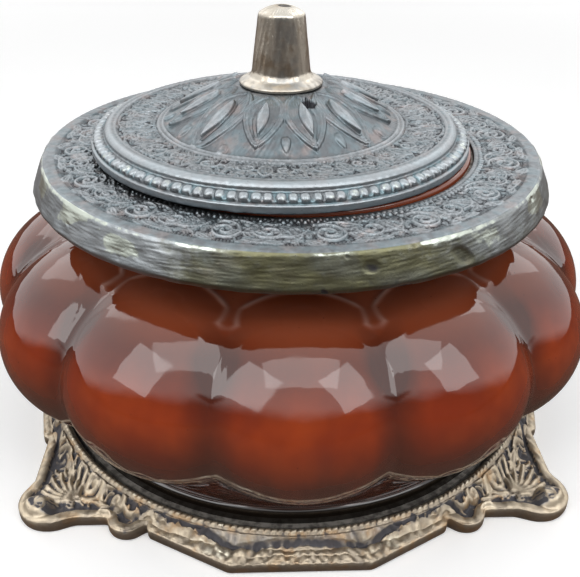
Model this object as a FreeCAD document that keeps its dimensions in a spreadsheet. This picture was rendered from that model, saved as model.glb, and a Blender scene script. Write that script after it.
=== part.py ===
import FreeCAD, Part
import Sketcher
import os

# A lidded, melon-lobed glass jar held in cast metal mounts. Millimetres, +Z up, front towards -Y.
# The origin is the centre of the underside of the stand, on the surface that the jar stands on.
# Heights named *_z are measured from that surface.

SIZES = {
    # stand
    "stand_half_x": 50.4,
    "stand_half_y": 44.6,
    "stand_corner_round": 5.2,
    "bulge_reach": 56.4,
    "bulge_flat_half": 12.6,
    "bulge_root_half": 27.4,
    "bulge_root_reach": 48.0,
    "bulge_side_share": 0.4,
    "end_bulge_reach": 54.2,
    "end_bulge_flat_half": 11.0,
    "end_bulge_root_half": 22.0,
    "end_bulge_root_reach": 51.6,
    "edge_bead_x": 31.2,
    "edge_bead_y": 44.6,
    "edge_bead_round": 3.8,
    "corner_foot_x": 46.0,
    "corner_foot_y": 39.8,
    "corner_foot_round": 6.2,
    "corner_foot_z": 4.4,
    "border_z": 2.9,
    "border_width": 2.6,
    "field_z": 2.0,
    "under_depth": 0.7,
    "seat_z": 1.6,
    "seat_radius": 49.3,
    "ring_outer": 52.0,
    "ring_shoulder_z": 4.8,
    "ring_lip_round": 0.65,
    "ring_skirt_radius": 53.3,
    "ring_step": 0.4,
    "ring_lap": 3.0,
    "ring_sink": 0.1,
    # setting bed under the glass
    "bed_thick": 0.8,
    "bed_wall": 1.0,
    "bed_wall_high": 1.4,
    # glass
    "lobe_count": 12,
    "lobe_centre_radius": 38.4,
    "lobe_centre_z": 27.8,
    "lobe_out": 23.0,
    "lobe_up": 18.6,
    "glass_foot_radius": 48.3,
    "glass_foot_high": 4.4,
    "foot_round": 0.8,
    "waist_radius": 47.6,
    "core_radius": 54.0,
    "core_low_z": 17.5,
    "core_high_z": 36.5,
    "shoulder_radius": 45.4,
    "shoulder_z": 43.6,
    "neck_radius": 34.9,
    "neck_low_z": 51.6,
    "shoulder_round": 12.0,
    "mouth_radius": 32.3,
    "rim_edge": 0.3,
    "punt_radius": 40.0,
    "punt_rise": 4.6,
    "punt_slope": 4.0,
    "floor_radius": 41.0,
    "floor_z": 11.8,
    "cavity_radius": 53.0,
    "cavity_low_z": 24.0,
    "cavity_low_round": 26.0,
    "cavity_high_z": 30.0,
    "cavity_high_round": 18.0,
    "cavity_shoulder_radius": 42.0,
    "cavity_shoulder_z": 41.2,
    # collar and its setting bed
    "collar_top_z": 58.5,
    "rim_proud": 0.6,
    "collar_radius": 48.2,
    "collar_edge_round": 0.5,
    "collar_bore": 35.3,
    "collar_thick": 2.0,
    "skirt_radius": 50.2,
    "skirt_low_z": 52.3,
    "skirt_wall": 1.9,
    "band_inner": 36.6,
    "band_outer": 45.4,
    "band_depth": 0.4,
    "collar_bed_low_z": 53.4,
    "collar_bed_gap": 0.6,
    # lid
    "lid_shift": 2.2,
    "flange_radius": 36.5,
    "flange_edge": 1.7,
    "bead_row_radius": 35.4,
    "bead_round": 0.75,
    "bead_edge_rise": 2.1,
    "bead_row_round": 1.2,
    "bead_foot_radius": 34.6,
    "bead_foot_rise": 2.9,
    "ridge_outer": 34.2,
    "ridge_outer_rise": 3.1,
    "ridge_inner": 32.4,
    "ridge_rise": 4.4,
    "ridge_round": 1.6,
    "lid_band_outer": 31.7,
    "lid_band_outer_rise": 4.0,
    "lid_band_inner": 23.6,
    "lid_band_inner_rise": 3.8,
    "hoop_round": 0.6,
    "dome_foot_radius": 21.8,
    "dome_foot_rise": 4.2,
    "dome_mid_radius": 15.6,
    "dome_mid_rise": 8.2,
    "dome_round": 40.0,
    "apex_radius": 8.3,
    "apex_rise": 11.0,
    "lid_thick": 2.2,
    "spigot_radius": 29.7,
    "spigot_wall": 2.0,
    "spigot_deep": 3.0,
    "spigot_lap": 1.0,
    "petal_count": 12,
    "petal_root_radius": 9.4,
    "petal_root_rise": 9.4,
    "petal_tip_radius": 22.6,
    "petal_tip_rise": 4.0,
    "petal_round": 11.5,
    "vent_radius": 1.2,
    "vent_x": 4.8,
    "vent_y": -10.2,
    "screw_hole": 1.7,
    # knob and its fastener
    "knob_foot_radius": 8.1,
    "knob_foot_high": 0.9,
    "knob_low_radius": 5.6,
    "knob_low_rise": 2.4,
    "knob_top_radius": 4.4,
    "knob_high": 13.6,
    "knob_crown": 0.9,
    "knob_foot_slope": 0.3,
    "knob_flare_round": 3.4,
    "knob_edge": 0.7,
    "knob_edge_round": 0.9,
    "thread_radius": 1.5,
    "thread_deep": 8.0,
    "thread_point": 0.8,
    "washer_radius": 4.5,
    "washer_thick": 0.8,
    "screw_head_radius": 2.8,
    "screw_head_high": 1.9,
    "screw_head_round": 0.9,
    "screw_point": 0.5,
    "screw_slot": 0.8,
    "screw_in_knob": 6.5,
}


class Size:
    """A length that carries both its number and its formula in the sheet."""

    def __init__(self, number, formula=None):
        self.number = float(number)
        self.formula = formula if formula else repr(float(number))

    def combined(self, other, sign, number):
        other = as_size(other)
        return Size(number(self.number, other.number), f"({self.formula} {sign} {other.formula})")

    def __add__(self, other):
        return self.combined(other, "+", lambda a, b: a + b)

    def __sub__(self, other):
        return self.combined(other, "-", lambda a, b: a - b)

    def __mul__(self, other):
        return self.combined(other, "*", lambda a, b: a * b)

    def __neg__(self):
        return Size(-self.number, f"(0 - {self.formula})")


def as_size(value):
    return value if isinstance(value, Size) else Size(value)


class Sizes:
    """The driving dimensions by name: sizes.collar_radius is a Size bound to that cell."""

    def __init__(self, values):
        for name, value in values.items():
            setattr(self, name, Size(value, f"sizes.{name}"))


def make_sheet(doc, values):
    """Writes one row for each driving dimension: its name in column A, its number in column B."""
    sheet = doc.addObject("Spreadsheet::Sheet", "sizes")
    for row, (name, value) in enumerate(values.items(), start=1):
        sheet.set(f"A{row}", name)
        sheet.set(f"B{row}", str(value))
        sheet.setAlias(f"B{row}", name)
    return sheet


doc = FreeCAD.newDocument("jar")
make_sheet(doc, SIZES)
doc.recompute()
S = Sizes(SIZES)

# The glass rim stands a little proud of the collar, and the lid rests on it.
RIM_Z = S.collar_top_z + S.rim_proud

# A cutting profile runs this far past the metal that it cuts.
CLEAR = 6

# A half-round's arc is this much larger than half its chord, which keeps it a little under a half turn.
HALF_ROUND = 1.04


def at(x, y):
    return FreeCAD.Vector(as_size(x).number, as_size(y).number, 0)


class Arc:
    """An arc to an outline's next corner. It bends to the left of the way, +1, or to the right, -1."""

    def __init__(self, radius, bend):
        self.radius = as_size(radius)
        self.bend = bend

    def middle(self, start, end):
        """The point half way along the arc from start to end, always the shorter way."""
        half = (end - start) * 0.5
        radius = max(self.radius.number, half.Length)
        sagitta = radius - (radius**2 - half.Length**2) ** 0.5
        side = FreeCAD.Vector(-half.y, half.x, 0).normalize() * self.bend
        return start + half + side * sagitta


def new_body(name):
    body = doc.addObject("PartDesign::Body", name)
    body.Label = name
    return body


def origin_item(body, role):
    return next(item for item in body.Origin.OriginFeatures if item.Role == role)


def new_sketch(body, name, plane="XZ_Plane", lift=None):
    """A sketch on one of the body's own planes. On XZ_Plane its x is the radius and its y the height."""
    sketch = body.newObject("Sketcher::SketchObject", name)
    sketch.AttachmentSupport = [(origin_item(body, plane), "")]
    sketch.MapMode = "FlatFace"
    if lift is not None:
        sketch.setExpression("AttachmentOffset.Base.z", as_size(lift).formula)
        up = FreeCAD.Vector(0, 0, as_size(lift).number)
        sketch.AttachmentOffset = FreeCAD.Placement(up, FreeCAD.Rotation())
    return sketch


def pin_down(sketch, geometry, end, x, y):
    """Fixes one end of a sketch element at x, y, each bound to its formula."""
    for kind, value, other_axis in (("DistanceX", as_size(x), -2), ("DistanceY", as_size(y), -1)):
        if abs(value.number) < 1e-9:
            sketch.addConstraint(Sketcher.Constraint("PointOnObject", geometry, end, other_axis))
        else:
            row = sketch.addConstraint(Sketcher.Constraint(kind, -1, 1, geometry, end, value.number))
            sketch.setExpression(f"Constraints[{row}]", value.formula)


def draw_outline(sketch, outline):
    """Draws a closed outline of (x, y) corners. An Arc between two corners bends the side that joins them."""
    corners, arcs = [], {}
    for item in outline:
        if isinstance(item, Arc):
            arcs[len(corners) - 1] = item
        else:
            corners.append(item)
    count = len(corners)
    first = sketch.GeometryCount
    for i in range(count):
        start, end = at(*corners[i]), at(*corners[(i + 1) % count])
        if i in arcs:
            sketch.addGeometry(Part.Arc(start, arcs[i].middle(start, end), end), False)
        else:
            sketch.addGeometry(Part.LineSegment(start, end), False)
    ends = [arc_ends(sketch, first + i, corners[i]) for i in range(count)]
    for i in range(count):
        after = (i + 1) % count
        sketch.addConstraint(
            Sketcher.Constraint("Coincident", first + i, ends[i][1], first + after, ends[after][0])
        )
    for i, (x, y) in enumerate(corners):
        pin_down(sketch, first + i, ends[i][0], x, y)
    for i, arc in arcs.items():
        row = sketch.addConstraint(Sketcher.Constraint("Radius", first + i, arc.radius.number))
        sketch.setExpression(f"Constraints[{row}]", arc.radius.formula)
    return sketch


def arc_ends(sketch, index, corner):
    """(start, end) point numbers of an element in the outline's direction: arcs run anticlockwise."""
    begins_here = (sketch.getPoint(index, 1) - at(*corner)).Length < 1e-6
    return (1, 2) if begins_here else (2, 1)


def draw_circle(sketch, x, y, radius):
    circle = Part.Circle(at(x, y), FreeCAD.Vector(0, 0, 1), as_size(radius).number)
    index = sketch.addGeometry(circle, False)
    pin_down(sketch, index, 3, x, y)
    row = sketch.addConstraint(Sketcher.Constraint("Radius", index, as_size(radius).number))
    sketch.setExpression(f"Constraints[{row}]", as_size(radius).formula)
    return sketch


def revolve(body, sketch, name, kind="Revolution", axis=None):
    """Turns a sketch all the way round: the body's own Z axis, or a construction line of the sketch."""
    feature = body.newObject(f"PartDesign::{kind}", name)
    feature.Profile = sketch
    feature.ReferenceAxis = axis if axis else (origin_item(body, "Z_Axis"), [""])
    feature.Angle = 360
    return feature


def extrude(body, sketch, name, length, kind="Pad", reverse=False):
    feature = body.newObject(f"PartDesign::{kind}", name)
    feature.Profile = sketch
    feature.Length = as_size(length).number
    feature.setExpression("Length", as_size(length).formula)
    feature.Reversed = reverse
    return feature


def repeat(body, features, name, count):
    """Repeats features evenly round the body's Z axis."""
    pattern = body.newObject("PartDesign::PolarPattern", name)
    pattern.Originals = features
    pattern.Axis = (origin_item(body, "Z_Axis"), [""])
    pattern.Angle = 360
    pattern.Occurrences = int(as_size(count).number)
    if isinstance(count, Size):
        pattern.setExpression("Occurrences", count.formula)
    body.Tip = pattern
    return pattern


def rounded_plate(inset, corner):
    """The outline of the stand's plate, drawn in by inset, with rounded corners."""
    half_x, half_y = S.stand_half_x - inset, S.stand_half_y - inset
    outline = []
    for sx, sy in ((1, -1), (1, 1), (-1, 1), (-1, -1)):
        along_y = (half_x * sx, (half_y - corner) * sy)
        along_x = ((half_x - corner) * sx, half_y * sy)
        first, second = (along_x, along_y) if sx * sy < 0 else (along_y, along_x)
        outline += [first, Arc(corner, -1), second]
    return outline


def bulge_outline(inset):
    """The front side's bulge, drawn in by inset: from the middle of the stand out to its flat front."""
    reach, root = S.bulge_reach - inset, S.bulge_root_reach - inset
    sideways = inset * S.bulge_side_share
    flat, base = S.bulge_flat_half - sideways, S.bulge_root_half - sideways
    return [(-base, 0), (-base, -root), (-flat, -reach), (flat, -reach), (base, -root), (base, 0)]


def end_bulge_outline(inset):
    """The shallower bulge of the right-hand side, drawn in by inset."""
    reach, root = S.end_bulge_reach - inset, S.end_bulge_root_reach - inset
    sideways = inset * S.bulge_side_share
    flat, base = S.end_bulge_flat_half - sideways, S.end_bulge_root_half - sideways
    return [(0, -base), (root, -base), (reach, -flat), (reach, flat), (root, base), (0, base)]


def both_bulges(body, name, plane_z, inset, high, kind="Pad", reverse=False):
    """One feature on the front bulge and one on the right-hand bulge, each repeated on the side opposite."""
    for side, outline in (("front", bulge_outline(inset)), ("end", end_bulge_outline(inset))):
        sketch = draw_outline(new_sketch(body, f"{side}_{name}_plan", "XY_Plane", plane_z), outline)
        feature = extrude(body, sketch, f"{side}_{name}", high, kind, reverse=reverse)
        repeat(body, [feature], f"{side}_{name}s", 2)


def make_stand():
    """Cast stand: bulging sides, round corner feet, raised border, sunk field, seat ring with a lip."""
    body = new_body("base_stand")
    none = as_size(0)
    plate = draw_outline(new_sketch(body, "plate_plan", "XY_Plane"), rounded_plate(none, S.stand_corner_round))
    extrude(body, plate, "plate", S.border_z)
    both_bulges(body, "bulge", none, none, S.border_z)
    beads = new_sketch(body, "edge_bead_plan", "XY_Plane")
    for x in (S.edge_bead_x, -S.edge_bead_x):
        draw_circle(beads, x, -S.edge_bead_y, S.edge_bead_round)
    repeat(body, [extrude(body, beads, "edge_bead", S.border_z)], "edge_beads", 2)

    sunk = S.border_z - S.field_z
    inner_plate = rounded_plate(S.border_width, S.stand_corner_round)
    well = draw_outline(new_sketch(body, "field_plan", "XY_Plane", S.border_z), inner_plate)
    extrude(body, well, "field", sunk, "Pocket")
    both_bulges(body, "field", S.border_z, S.border_width, sunk, "Pocket")
    feet = new_sketch(body, "corner_foot_plan", "XY_Plane")
    for x in (S.corner_foot_x, -S.corner_foot_x):
        draw_circle(feet, x, -S.corner_foot_y, S.corner_foot_round)
    repeat(body, [extrude(body, feet, "corner_foot", S.corner_foot_z)], "corner_feet", 2)

    hollow = draw_outline(new_sketch(body, "under_plan", "XY_Plane"), inner_plate)
    extrude(body, hollow, "under_hollow", S.under_depth, "Pocket", reverse=True)
    both_bulges(body, "under", none, S.border_width, S.under_depth, "Pocket", reverse=True)

    lip_in = S.ring_outer - S.ring_lip_round * 2
    ring_in = S.seat_radius - S.ring_lap
    ring = [
        (ring_in, S.under_depth),
        (ring_in, S.seat_z),
        (S.seat_radius, S.seat_z),
        (S.seat_radius, S.ring_shoulder_z - S.ring_step),
        (lip_in, S.ring_shoulder_z),
        Arc(S.ring_lip_round * HALF_ROUND, 1),
        (S.ring_outer, S.ring_shoulder_z),
        (S.ring_outer + S.ring_step, S.ring_shoulder_z - S.ring_step),
        (S.ring_skirt_radius, S.field_z - S.ring_sink),
        (S.ring_skirt_radius, S.under_depth),
    ]
    revolve(body, draw_outline(new_sketch(body, "ring_profile"), ring), "seat_ring")
    above = S.border_z + CLEAR
    seat = [(0, S.seat_z), (S.seat_radius, S.seat_z), (S.seat_radius, above), (0, above)]
    revolve(body, draw_outline(new_sketch(body, "seat_profile"), seat), "seat", "Groove")
    return body


def make_stand_bed():
    """Setting bed in the seat of the stand: a disc with a low wall round the glass foot."""
    body = new_body("base_cement")
    top = S.seat_z + S.bed_thick
    outline = [
        (0, S.seat_z),
        (S.seat_radius, S.seat_z),
        (S.seat_radius, top + S.bed_wall_high),
        (S.seat_radius - S.bed_wall, top + S.bed_wall_high),
        (S.seat_radius - S.bed_wall, top),
        (0, top),
    ]
    revolve(body, draw_outline(new_sketch(body, "bed_profile"), outline), "bed")
    return body


def make_lobe(body):
    """One lobe: a flattened ellipsoid that stands lobe_centre_radius out from the jar's axis, at its front."""
    feature = body.newObject("PartDesign::AdditiveEllipsoid", "lobe")
    feature.Placement = FreeCAD.Placement(at(0, 0), FreeCAD.Rotation())
    feature.setExpression("Placement.Base.y", (-S.lobe_centre_radius).formula)
    feature.setExpression("Placement.Base.z", S.lobe_centre_z.formula)
    for cell, size in (("Radius1", S.lobe_up), ("Radius2", S.lobe_out), ("Radius3", S.lobe_out)):
        feature.setExpression(cell, size.formula)
    return feature


def make_glass():
    """Glass body: a turned core with rim, neck, shoulder and foot, twelve lobes, and a smooth cavity."""
    body = new_body("glass_bowl")
    foot_z = S.seat_z + S.bed_thick
    outer = [
        (0, foot_z + S.punt_rise),
        (S.punt_radius - S.punt_slope, foot_z + S.punt_rise),
        (S.punt_radius, foot_z),
        (S.glass_foot_radius - S.foot_round, foot_z),
        Arc(S.foot_round, -1),
        (S.glass_foot_radius, foot_z + S.foot_round),
        (S.glass_foot_radius, foot_z + S.glass_foot_high - S.foot_round),
        (S.waist_radius, foot_z + S.glass_foot_high),
        (S.core_radius, S.core_low_z),
        (S.core_radius, S.core_high_z),
        (S.shoulder_radius, S.shoulder_z),
        Arc(S.shoulder_round, 1),
        (S.neck_radius, S.neck_low_z),
        (S.neck_radius, RIM_Z - S.rim_edge),
        (S.neck_radius - S.rim_edge, RIM_Z),
        (S.mouth_radius + S.rim_edge, RIM_Z),
        (S.mouth_radius, RIM_Z - S.rim_edge),
        (0, RIM_Z - S.rim_edge),
    ]
    revolve(body, draw_outline(new_sketch(body, "core_profile"), outer), "core")
    repeat(body, [make_lobe(body)], "lobes", S.lobe_count)
    inner = [
        (0, S.floor_z),
        (S.floor_radius, S.floor_z),
        Arc(S.cavity_low_round, -1),
        (S.cavity_radius, S.cavity_low_z),
        (S.cavity_radius, S.cavity_high_z),
        Arc(S.cavity_high_round, -1),
        (S.cavity_shoulder_radius, S.cavity_shoulder_z),
        Arc(S.shoulder_round, 1),
        (S.mouth_radius, S.neck_low_z),
        (S.mouth_radius, RIM_Z + CLEAR),
        (0, RIM_Z + CLEAR),
    ]
    revolve(body, draw_outline(new_sketch(body, "cavity_profile"), inner), "cavity", "Groove")
    return body


def make_collar():
    """Cast collar: flat ring flush with the glass rim, sunk chased band, and a skirt that flares a little."""
    body = new_body("collar")
    top, edge = S.collar_top_z, S.collar_edge_round
    outline = [
        (S.collar_bore, top),
        (S.band_inner, top),
        (S.band_inner, top - S.band_depth),
        (S.band_outer, top - S.band_depth),
        (S.band_outer, top),
        (S.collar_radius - edge, top),
        Arc(edge, 1),
        (S.collar_radius, top - edge),
        (S.skirt_radius, S.skirt_low_z + edge),
        Arc(edge, 1),
        (S.skirt_radius - edge, S.skirt_low_z),
        (S.skirt_radius - S.skirt_wall, S.skirt_low_z),
        (S.collar_radius - S.skirt_wall, top - S.collar_thick),
        (S.collar_bore, top - S.collar_thick),
    ]
    revolve(body, draw_outline(new_sketch(body, "collar_profile"), outline), "ring")
    return body


def make_collar_bed():
    """Setting bed that fills the space between the glass neck and the collar."""
    body = new_body("collar_cement")
    top, low = S.collar_top_z - S.collar_thick, S.collar_bed_low_z
    outline = [
        (S.neck_radius, low),
        (S.skirt_radius - S.skirt_wall - S.collar_bed_gap, low),
        (S.collar_radius - S.skirt_wall, top),
        (S.collar_bore, top),
        (S.collar_bore, S.collar_top_z - S.collar_bed_gap),
        (S.neck_radius, S.collar_top_z - S.collar_bed_gap),
    ]
    revolve(body, draw_outline(new_sketch(body, "bed_profile"), outline), "bed")
    return body


def make_lid():
    """Cast lid: flange, beaded row, rolled ridge, chased band, hoop and lotus dome, with a spigot beneath."""
    body = new_body("lid")
    seat = RIM_Z
    hoop = S.hoop_round
    outline = [
        (0, seat),
        (S.flange_radius, seat),
        (S.flange_radius, seat + S.flange_edge),
        (S.bead_row_radius + S.bead_round, seat + S.bead_edge_rise),
        Arc(S.bead_row_round, -1),
        (S.bead_foot_radius, seat + S.bead_foot_rise),
        (S.ridge_outer, seat + S.ridge_outer_rise),
        Arc(S.ridge_round, -1),
        (S.ridge_inner, seat + S.ridge_rise),
        (S.lid_band_outer, seat + S.lid_band_outer_rise),
        (S.lid_band_inner, seat + S.lid_band_inner_rise),
        Arc(hoop * HALF_ROUND, -1),
        (S.lid_band_inner - hoop * 2, seat + S.lid_band_inner_rise),
        (S.dome_foot_radius, seat + S.dome_foot_rise),
        Arc(S.dome_round, -1),
        (S.dome_mid_radius, seat + S.dome_mid_rise),
        Arc(S.dome_round, -1),
        (S.apex_radius, seat + S.apex_rise),
        (0, seat + S.apex_rise),
    ]
    revolve(body, draw_outline(new_sketch(body, "lid_profile"), outline), "shell")
    repeat(body, [make_petal(body)], "petals", S.petal_count)

    thick = S.lid_thick
    spigot_in = S.spigot_radius - S.spigot_wall
    spigot = [
        (spigot_in, seat - S.spigot_deep),
        (S.spigot_radius, seat - S.spigot_deep),
        (S.spigot_radius, seat + S.spigot_lap),
        (spigot_in, seat + S.spigot_lap),
    ]
    revolve(body, draw_outline(new_sketch(body, "spigot_profile"), spigot), "spigot")
    below, lap = seat - S.spigot_deep - CLEAR, S.spigot_lap
    under = [
        (0, below),
        (spigot_in, below),
        (spigot_in, seat + S.lid_band_outer_rise - thick),
        (S.lid_band_inner - lap, seat + S.lid_band_inner_rise - thick),
        (S.dome_mid_radius - lap, seat + S.dome_mid_rise - thick),
        (S.apex_radius - lap, seat + S.apex_rise - thick),
        (0, seat + S.apex_rise - thick),
    ]
    revolve(body, draw_outline(new_sketch(body, "under_profile"), under), "under_hollow", "Groove")
    apex = seat + S.apex_rise
    over = [(0, apex), (S.apex_radius, apex), (S.apex_radius, apex + CLEAR), (0, apex + CLEAR)]
    revolve(body, draw_outline(new_sketch(body, "knob_seat_profile"), over), "knob_seat", "Groove")
    holes = new_sketch(body, "hole_plan", "XY_Plane", seat)
    draw_circle(holes, 0, 0, S.screw_hole)
    draw_circle(holes, S.vent_x, S.vent_y, S.vent_radius)
    extrude(body, holes, "holes", S.apex_rise + CLEAR, "Pocket", reverse=True)
    body.setExpression("Placement.Base.x", (-S.lid_shift).formula)
    return body


def make_petal(body):
    """A pointed petal: a shallow arc turned about its own sloping axis, half a step off the X axis."""
    root = (S.petal_root_radius, RIM_Z + S.petal_root_rise)
    tip = (S.petal_tip_radius, RIM_Z + S.petal_tip_rise)
    sketch = new_sketch(body, "petal_profile")
    half_step = FreeCAD.Rotation(FreeCAD.Vector(0, 1, 0), 180 / S.petal_count.number)
    sketch.AttachmentOffset = FreeCAD.Placement(FreeCAD.Vector(0, 0, 0), half_step)
    draw_outline(sketch, [tip, root, Arc(S.petal_round, 1)])
    return revolve(body, sketch, "petal", axis=(sketch, ["Edge1"]))


def make_knob():
    """Tapered peg with a flared foot and a low crown, tapped from beneath."""
    body = new_body("knob")
    seat = RIM_Z + S.apex_rise
    top = seat + S.knob_high
    outline = [
        (0, seat + S.thread_deep + S.thread_point),
        (S.thread_radius, seat + S.thread_deep),
        (S.thread_radius, seat),
        (S.knob_foot_radius - S.knob_foot_slope, seat),
        (S.knob_foot_radius, seat + S.knob_foot_high),
        Arc(S.knob_flare_round, 1),
        (S.knob_low_radius, seat + S.knob_low_rise),
        (S.knob_top_radius, top - S.knob_edge),
        Arc(S.knob_edge_round, -1),
        (S.knob_top_radius - S.knob_edge, top),
        (0, top + S.knob_crown),
    ]
    revolve(body, draw_outline(new_sketch(body, "knob_profile"), outline), "peg")
    body.setExpression("Placement.Base.x", (-S.lid_shift).formula)
    return body


def make_washer():
    """Plain washer under the lid's apex."""
    body = new_body("knob_washer")
    top = RIM_Z + S.apex_rise - S.lid_thick
    low = top - S.washer_thick
    outline = [(S.screw_hole, low), (S.washer_radius, low), (S.washer_radius, top), (S.screw_hole, top)]
    revolve(body, draw_outline(new_sketch(body, "washer_profile"), outline), "ring")
    body.setExpression("Placement.Base.x", (-S.lid_shift).formula)
    return body


def make_screw():
    """Pan-head screw that holds the knob from beneath, with a slot across its head."""
    body = new_body("knob_screw")
    under_washer = RIM_Z + S.apex_rise - S.lid_thick - S.washer_thick
    head = under_washer - S.screw_head_high
    tip = RIM_Z + S.apex_rise + S.screw_in_knob
    outline = [
        (0, head),
        (S.screw_head_radius - S.screw_head_round, head),
        Arc(S.screw_head_round, -1),
        (S.screw_head_radius, head + S.screw_head_round),
        (S.screw_head_radius, under_washer),
        (S.thread_radius, under_washer),
        (S.thread_radius, tip - S.screw_point),
        (S.thread_radius - S.screw_point, tip),
        (0, tip),
    ]
    revolve(body, draw_outline(new_sketch(body, "screw_profile"), outline), "screw")
    half, long = S.screw_slot * 0.5, S.screw_head_radius + CLEAR
    slot = [(-long, -half), (long, -half), (long, half), (-long, half)]
    sketch = draw_outline(new_sketch(body, "slot_plan", "XY_Plane", head), slot)
    extrude(body, sketch, "slot", S.screw_slot, "Pocket", reverse=True)
    body.setExpression("Placement.Base.x", (-S.lid_shift).formula)
    return body


def check(document, parts):
    """Stops before anything is written if an object failed or a piece is not one valid closed solid."""
    failed = [item.Label for item in document.Objects if {"Invalid", "Error"} & set(item.State)]
    if failed:
        raise RuntimeError(f"these did not compute: {failed}")
    for part in parts:
        shape = part.Shape
        if shape.isNull() or not shape.isValid() or len(shape.Solids) != 1:
            raise RuntimeError(f"{part.Label} is not one valid solid: {len(shape.Solids)}")


def write(parts):
    os.makedirs("parts", exist_ok=True)
    for part in parts:
        part.Shape.exportStep(f"parts/{part.Label}.step")
        box = part.Shape.BoundBox
        size = f"{box.XLength:.1f} x {box.YLength:.1f} x {box.ZLength:.1f} mm"
        print(f"{part.Label:14s} {part.Shape.Volume:10.1f} mm3, {size}, from z {box.ZMin:.1f} to {box.ZMax:.1f}")


MAKERS = (
    make_stand, make_stand_bed, make_glass, make_collar_bed, make_collar,
    make_lid, make_knob, make_washer, make_screw,
)
pieces = [make() for make in MAKERS]
doc.recompute()
check(doc, pieces)
write(pieces)
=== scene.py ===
"""Looks of a lidded, melon-lobed glass jar in cast metal mounts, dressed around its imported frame.

Metres, +Z up, front towards -Y. Each sub-assembly is a class whose fields are its sizes in millimetres.
Its methods build the meshes, chase the reliefs and hand the pieces to the frame.
"""

import logging
import math
from dataclasses import dataclass, field
from enum import Enum

import bpy
import numpy as np
from mathutils import Matrix, Vector


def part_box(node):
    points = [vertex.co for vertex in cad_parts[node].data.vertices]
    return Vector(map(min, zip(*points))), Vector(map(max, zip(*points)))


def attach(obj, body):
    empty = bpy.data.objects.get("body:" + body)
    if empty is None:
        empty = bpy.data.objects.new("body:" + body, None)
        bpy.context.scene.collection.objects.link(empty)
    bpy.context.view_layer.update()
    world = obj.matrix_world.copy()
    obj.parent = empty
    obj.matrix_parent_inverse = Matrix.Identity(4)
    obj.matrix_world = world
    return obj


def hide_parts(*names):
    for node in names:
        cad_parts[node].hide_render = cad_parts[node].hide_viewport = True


log = logging.getLogger("jar")
MM = 0.001
TURN = 2 * math.pi
NOISE_ROUGH = 0.55

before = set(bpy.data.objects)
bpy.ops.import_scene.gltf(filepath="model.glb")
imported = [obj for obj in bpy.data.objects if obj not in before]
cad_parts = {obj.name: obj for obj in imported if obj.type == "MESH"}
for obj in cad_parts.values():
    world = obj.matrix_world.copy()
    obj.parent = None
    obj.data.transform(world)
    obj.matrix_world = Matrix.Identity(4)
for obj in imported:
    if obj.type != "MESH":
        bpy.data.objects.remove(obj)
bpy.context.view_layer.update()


# ---------------------------------------------------------------- numbers over a surface


def smooth_step(low: float, high: float, value: np.ndarray) -> np.ndarray:
    """A soft step from 0 at low to 1 at high."""
    t = np.clip((value - low) / (high - low), 0, 1)
    return t * t * (3 - 2 * t)


def half_round(distance: np.ndarray, half_width: float | np.ndarray) -> np.ndarray:
    """The height, 0 to 1, of a half-round moulding at a distance from its middle line."""
    return np.sqrt(np.clip(1 - (distance / half_width) ** 2, 0, 1))


def around_axis(azimuth: np.ndarray, radius: np.ndarray, height: np.ndarray) -> np.ndarray:
    """Points, in x, y and z, at each azimuth, radius and height about the jar's axis."""
    return np.stack([radius * np.cos(azimuth), radius * np.sin(azimuth), height], axis=-1)


def turned_from(angle: np.ndarray, centre: float) -> np.ndarray:
    """The signed angle from centre to angle, within half a turn."""
    return (angle - centre + math.pi) % TURN - math.pi


class Ripple:
    """Seeded irregularity: a sum of waves over azimuth and one other coordinate, whole round the azimuth."""

    def __init__(self, seed: int, waves: int, around: tuple[int, int], across: float) -> None:
        """Draws the waves.

        Args:
            seed: the draw's seed.
            waves: how many waves are added up.
            around: the fewest and most periods round the azimuth.
            across: the most radians per millimetre in the other coordinate.
        """
        draw = np.random.default_rng(seed)
        self.around = draw.integers(around[0], around[1] + 1, waves)
        self.across = draw.uniform(-across, across, waves)
        self.phase = draw.uniform(0, TURN, waves)
        self.share = draw.uniform(0.5, 1.0, waves) / math.sqrt(waves)

    def at(self, azimuth: np.ndarray, other: np.ndarray) -> np.ndarray:
        """The irregularity, mostly within -1 and 1."""
        total = np.zeros(np.broadcast(azimuth, other).shape)
        for around, across, phase, share in zip(self.around, self.across, self.phase, self.share):
            total += share * np.sin(around * azimuth + across * other + phase)
        return total


# ---------------------------------------------------------------- meshes


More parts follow.
